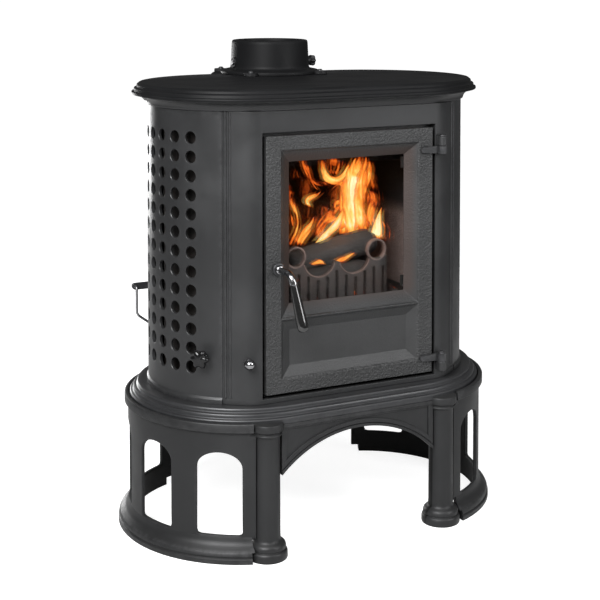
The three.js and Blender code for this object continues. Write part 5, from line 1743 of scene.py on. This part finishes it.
COLUMN = (
    Tongue(-38, 1.0, 21, 17, 0.65, ((61, 406), (62, 450), (36, 485), (58, 536))),
    Tongue(-42, 0.75, 11, 10, 0.7, ((68, 410), (60, 450), (54, 480), (64, 530))),
    Tongue(-35, 0.85, 10, 8, 0.6, ((46, 412), (38, 445), (52, 470), (44, 510))),
    Tongue(-54, 1.15, 10, 5, 0.4, ((87, 402), (88, 420), (88, 438), (93, 452))),
    Tongue(-44, 0.5, 8, 7, 0.6, ((84, 420), (74, 445), (90, 470), (68, 482))),
    Tongue(-35, 0.42, 3, 5, 0.4, ((71, 526), (76, 512), (76, 490), (72, 476))),
)
LICKS = (
    Tongue(-35, 0.55, 7, 5, 0.4, ((38, 418), (32, 450), (50, 525), (6, 472))),
    Tongue(-50, 0.95, 2, 6, 0.6, ((-14, 396), (-10, 415), (25, 415), (29, 456))),
    Tongue(-36, 0.34, 6, 8, 0.4, ((0, 406), (8, 440), (25, 440), (32, 462))),
    Tongue(-46, 0.55, 2, 4, 0.75, ((-54, 404), (-28, 440), (-52, 450), (-68, 512))),
    Tongue(-48, 0.7, 3, 7, 0.4, ((-42, 402), (-36, 422), (-22, 424), (-16, 448))),
    Tongue(-40, 0.3, 2, 2, 0.4, ((-45, 431), (-48, 438), (-50, 446), (-52, 452))),
    Tongue(-35, 0.42, 2, 2, 0.5, ((-31, 530), (-24, 505), (-20, 490), (-8, 483))),
    Tongue(-35, 0.62, 1, 4, 0.5, ((-18, 456), (-36, 478), (-10, 466), (-2, 484))),
    Tongue(-35, 0.8, 2, 5, 0.5, ((-5, 530), (-6, 482), (46, 486), (38, 528))),
    Tongue(-35, 0.3, 8, 8, 0.4, ((18, 530), (16, 520), (16, 508), (16, 496))),
    Tongue(-35, 0.28, 3, 6, 0.6, ((-38, 532), (-30, 508), (-10, 494), (8, 488))),
    Tongue(-35, 0.24, 5, 5, 0.5, ((113, 387), (121, 405), (116, 420), (104, 428))),
    Tongue(-35, 0.5, 1, 4, 0.5, ((27, 448), (13, 464), (38, 468), (35, 448))),
    Tongue(-80, 0.6, 1, 3, 0.35, ((6, 378), (16, 380), (26, 384), (40, 391))),
    Tongue(-84, 0.55, 1, 3, 0.65, ((-34, 379), (-26, 382), (-20, 386), (-12, 379))),
)
VEILS = (
    Tongue(-35, 0.05, 30, 34, 0.6, ((20, 410), (4, 450), (-8, 490), (2, 542))),
    Tongue(-35, 0.04, 22, 20, 0.6, ((-22, 410), (-34, 450), (-42, 490), (-44, 540))),
    Tongue(-35, 0.11, 20, 18, 0.5, ((86, 400), (82, 430), (74, 480), (64, 534))),
)


@dataclass
class Fire:
    """Logs, embers and flames behind the glass."""

    shop: Workshop
    floor: float = 322.3
    seed: int = 7
    coals: int = 90
    bed_half: float = 120.0
    lean: float = 0.2
    across: int = 17
    along: int = 48

    def dress(self) -> None:
        """Builds the whole fire."""
        self.dice = random.Random(self.seed)
        self._log("log_front", "burnt_wood", Vector((-78, -74, 350)), Vector((66, -70, 356)), 22)
        self._log("log_upper", "wood", Vector((-66, -60, 376)), Vector((85, -48, 401)), 19.5)
        self._log("log_rear", "burnt_wood", Vector((-70, -14, 352)), Vector((92, -26, 356)), 23)
        self._embers()
        self._flames()

    def _log(self, name: str, finish: str, start: Vector, end: Vector, radius: float) -> None:
        """Builds one charred log."""
        along = (end - start).normalized()
        across = along.cross(Vector((0, 0, 1))).normalized()
        other = along.cross(across)
        waves = [(self.dice.uniform(0, 6.3), self.dice.uniform(0, 6.3)) for _ in range(5)]
        rows = []
        for k in range(41):
            t = k / 40
            spot = start.lerp(end, t)
            taper = 1 - 0.3 * abs(2 * t - 1) ** 14
            ring = []
            for a in smooth_steps(0.0, math.tau, 49)[:-1]:
                bark = sum(math.sin((n + 2) * a + p + 3 * t * math.sin(q)) * 0.014
                           for n, (p, q) in enumerate(waves))
                bark += 0.012 * math.sin(17 * a + 9 * t)
                size = radius * taper * (1 + bark)
                ring.append(tuple(spot + size * (across * math.cos(a) + other * math.sin(a))))
            rows.append(ring)
        draft = Draft()
        draft.solid(rows)
        draft.build(name, self.shop[finish], "stove", Slot.BRICK, crease=60.0)

    def _bed_height(self, x: float, y: float) -> float:
        """Height of the lumpy ember bed, which runs out towards its edges."""
        edge = min(1.0, (self.bed_half - abs(x)) / 18, (y + 86) / 10, (50 - y) / 10)
        lump = math.sin(x * 0.31 + 2 * math.sin(y * 0.2)) * math.cos(y * 0.37 + x * 0.11)
        return self.floor + max(0.0, edge) * (13 + 5 * lump)

    def _embers(self) -> None:
        """Builds the ember bed and its loose coals."""
        bed = Draft()
        bed.skin([[(x, y, self._bed_height(x, y)) for x in smooth_steps(-self.bed_half, self.bed_half, 62)]
                  for y in smooth_steps(-84, 48, 34)], around=False)
        bed.build("ember_bed", self.shop["embers"], "stove", Slot.BRICK, crease=80.0)
        coals = Draft()
        roll = self.dice.uniform
        for _ in range(self.coals):
            x, y = roll(-112, 112), roll(-76, 42)
            size = roll(4.5, 9.5)
            foot = Vector((x, y, self.floor + roll(8, 17)))
            way = Vector((roll(-1, 1), roll(-1, 1), roll(-0.4, 1)))
            shape = [(size * roll(0.5, 0.7), 0), (size * roll(0.85, 1), size * 0.5),
                     (size * roll(0.8, 1), size), (size * roll(0.4, 0.6), size * 1.5)]
            coals.turned([(0, 0), *shape, (0, size * 1.6)], foot, way, 7)
        coals.build("loose_coals", self.shop["embers"], "stove", Slot.BRICK, crease=20.0)

    def _flames(self) -> None:
        """Builds every ribbon of flame as one open mesh with its two maps."""
        draft = Draft()
        marks: list[tuple[Plan, Plan]] = []
        tongues = (*COLUMN, *LICKS, *VEILS)
        for number, tongue in enumerate(tongues):
            draft.skin(self._ribbon(tongue, number, marks), around=False)
        mesh = bpy.data.meshes.new("flames")
        mesh.from_pydata([in_frame(point) for point in draft.points], [], draft.faces)
        for layer, name in enumerate(("heat", "flow")):
            values = mesh.uv_layers.new(name=name)
            for corner in mesh.loops:
                values.uv[corner.index].vector = marks[corner.vertex_index][layer]
        mesh.materials.append(self.shop["flame"])
        mesh.shade_smooth()
        piece = put_in_scene("flames", mesh)
        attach(piece, "stove")
        LOG.info("flames: %d ribbons, %d faces", len(tongues), len(draft.faces))

    def _ribbon(self, tongue: Tongue, number: int, marks: list[tuple[Plan, Plan]]) -> list[list[Point]]:
        """Shapes one ribbon.

        Args:
            tongue: The ribbon's sizes.
            number: Its place among the ribbons, which shifts its waves and its streaks.
            marks: The maps' values, to which each of its points adds its own.
        Returns:
            Its rows of points, from the foot to the tip.
        """
        path = [tongue.at(k / self.along) for k in range(self.along + 1)]
        rows = []
        run = 0.0
        for k, (spot, wide) in enumerate(path):
            before, after = path[max(k - 1, 0)][0], path[min(k + 1, self.along)][0]
            way = (after - before).normalized()
            side = Vector((way.y, 0, -way.x))
            run += (spot - before).length
            t = k / self.along
            ends = min(1.0, t * 7) * min(1.0, (1 - t) * 3.5) ** 0.5
            row = []
            for s in smooth_steps(-1, 1, self.across):
                wave = 1.5 * math.sin(1.7 * number + 0.06 * run + 1.5 * s)
                depth = tongue.depth - self.lean * (spot.y - 400) + wave
                row.append(tuple(Vector((spot.x, depth, spot.y)) + side * (s * 1.25 * wide)))
                core = tongue.heat * (1 - s * s) ** 0.7 * ends if abs(s) < 1 else 0.0
                marks.append(((core, t), (s * wide * 0.1 + 3.1 * number, run * 0.1 + 5.3 * number)))
            rows.append(row)
        return rows


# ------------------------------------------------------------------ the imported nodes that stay
NODE_FINISHES: dict[str, tuple[str, float]] = {
    "flue_box": ("body", 1.0), "damper_spindle": ("steel", 0.3), "damper_plate": ("inside", 0.5),
    "door_glass": ("glass", 0.0), "door_seal": ("rope", 1.2), "hinge_strap_upper": ("small", 0.7),
    "hinge_strap_lower": ("small", 0.7), "hinge_pin_upper": ("dark_steel", 0.3),
    "hinge_pin_lower": ("dark_steel", 0.3), "latch_cam": ("steel", 0.4), "fire_wall_right": ("inside", 0.0),
    "fire_wall_left": ("inside", 0.0), "hearth_floor": ("inside", 0.8), "grate": ("inside", 0.6),
    "brick_left": ("board", 1.2), "brick_right": ("board", 1.2),
    "brick_back": ("board", 1.2), "baffle": ("board", 1.2), "ash_pan": ("dark_steel", 0.5),
    "air_spindle": ("steel", 0.3), "air_disc": ("inside", 0.4), "riddling_rod": ("steel", 0.4),
    "riddling_arm": ("inside", 0.5), "riddling_rake": ("inside", 0.5), "hanger_bracket": ("small", 0.6),
}
CLIPS = [f"glass_clip_{side}_{end}" for side in ("left", "right") for end in ("low", "high")]


def dress_nodes(shop: Workshop) -> None:
    """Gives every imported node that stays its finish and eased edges."""
    finishes = NODE_FINISHES | {name: ("inside", 0.4) for name in CLIPS}
    for name, (finish, rounding) in finishes.items():
        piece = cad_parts[name]
        for slot in piece.material_slots:
            slot.material = shop[finish]
        if rounding > 0:
            ease_edges(piece, rounding, 34.0, harden=False)
        LOG.info("%s keeps its packed form", name)


# ------------------------------------------------------------------ studio
@dataclass(frozen=True)
class Softbox:
    """One soft studio light."""

    name: str
    place: Point
    size: float
    power: float


@dataclass
class Studio:
    """Pale floor, soft light and the camera."""

    shop: Workshop
    eye: Point = (-899.63, -1812.66, 796.37)
    yaw: float = 26.081
    pitch: float = 2.622
    lens: float = 80.914
    lowered: float = -0.4356
    surround: float = 0.12
    backdrop: float = 1.05
    reach: float = 1.7
    aim: Point = (0.0, 0.0, 0.35)
    boxes: tuple[Softbox, ...] = (
        Softbox("key_light", (-1.42, -1.25, 1.6), 1.1, 94.0),
        Softbox("front_light", (0.2, -1.5, 1.9), 0.9, 10.0),
        Softbox("fill_light", (1.3, -2.0, 1.2), 1.0, 31.0),
        Softbox("rear_light", (-0.3, 2.2, 0.36), 0.6, 16.0))
    glow: Point = (20.0, -60.0, 420.0)
    glow_power: float = 0.1
    glow_colour: Colour = (1.0, 0.36, 0.12)

    def dress(self) -> None:
        """Builds the studio."""
        self._floor()
        self._world()
        for box in self.boxes:
            self._light(box)
        self._glow()
        self._camera()

    def _floor(self) -> None:
        """Lays the floor."""
        mesh = bpy.data.meshes.new("studio_floor")
        edge = circle(self.reach, 96)
        mesh.from_pydata([(x, y, 0) for x, y in edge], [], [tuple(range(len(edge)))])
        mesh.materials.append(self.shop["floor"])
        put_in_scene("studio_floor", mesh)

    def _world(self) -> None:
        """Sets the white backdrop and the dimmer surround that lights the stove."""
        world = bpy.data.worlds.new("studio")
        world.use_nodes = True
        w = Wiring(world.node_tree)
        shades = []
        for strength in (self.surround, self.backdrop):
            shade = w.add("ShaderNodeBackground")
            w.feed(shade, "Color", (1, 1, 1, 1))
            w.feed(shade, "Strength", strength)
            shades.append(shade.outputs[0])
        blend = w.add("ShaderNodeMixShader")
        w.feed(blend, 0, w.add("ShaderNodeLightPath").outputs["Is Camera Ray"])
        w.feed(blend, 1, shades[0])
        w.feed(blend, 2, shades[1])
        w.feed(world.node_tree.nodes["World Output"], "Surface", blend.outputs[0])
        bpy.context.scene.world = world
        bpy.context.scene.view_settings.view_transform = "Standard"

    def _light(self, box: Softbox) -> None:
        """Hangs one soft light that looks at the stove."""
        lamp = bpy.data.lights.new(box.name, "AREA")
        lamp.size = box.size
        lamp.energy = box.power
        holder = put_in_scene(box.name, lamp)
        holder.location = box.place
        holder.rotation_euler = (Vector(self.aim) - Vector(box.place)).to_track_quat("-Z", "Y").to_euler()

    def _glow(self) -> None:
        """Puts the fire's own light in the chamber."""
        lamp = bpy.data.lights.new("fire_glow", "POINT")
        lamp.energy = self.glow_power
        lamp.color = self.glow_colour
        lamp.shadow_soft_size = 0.04
        holder = put_in_scene("fire_glow", lamp)
        holder.location = in_frame(self.glow)
        holder.visible_camera = False
        holder.visible_transmission = False

    def _camera(self) -> None:
        """Stands the camera where the photograph was taken from."""
        lens = bpy.data.cameras.new("view")
        lens.lens = self.lens
        lens.sensor_width = 36.0
        lens.shift_y = self.lowered
        lens.clip_end = 100.0
        holder = put_in_scene("view", lens)
        holder.location = in_frame(self.eye)
        yaw, pitch = math.radians(self.yaw), math.radians(self.pitch)
        ahead = Vector((math.sin(yaw) * math.cos(pitch), math.cos(yaw) * math.cos(pitch), -math.sin(pitch)))
        holder.rotation_euler = ahead.to_track_quat("-Z", "Y").to_euler()
        bpy.context.scene.camera = holder


def main() -> None:
    """Builds the stove's looks in order."""
    logging.basicConfig(level=logging.INFO, format="%(message)s")
    shop = Workshop()
    for part in (Stand, BasePlate, Body, Crown, Flue, Door, Handle, Controls, LogGuard, Fire, Studio):
        part(shop).dress()
        LOG.info("%s done", part.__name__)
    dress_nodes(shop)


if __name__ == "__main__":
    main()
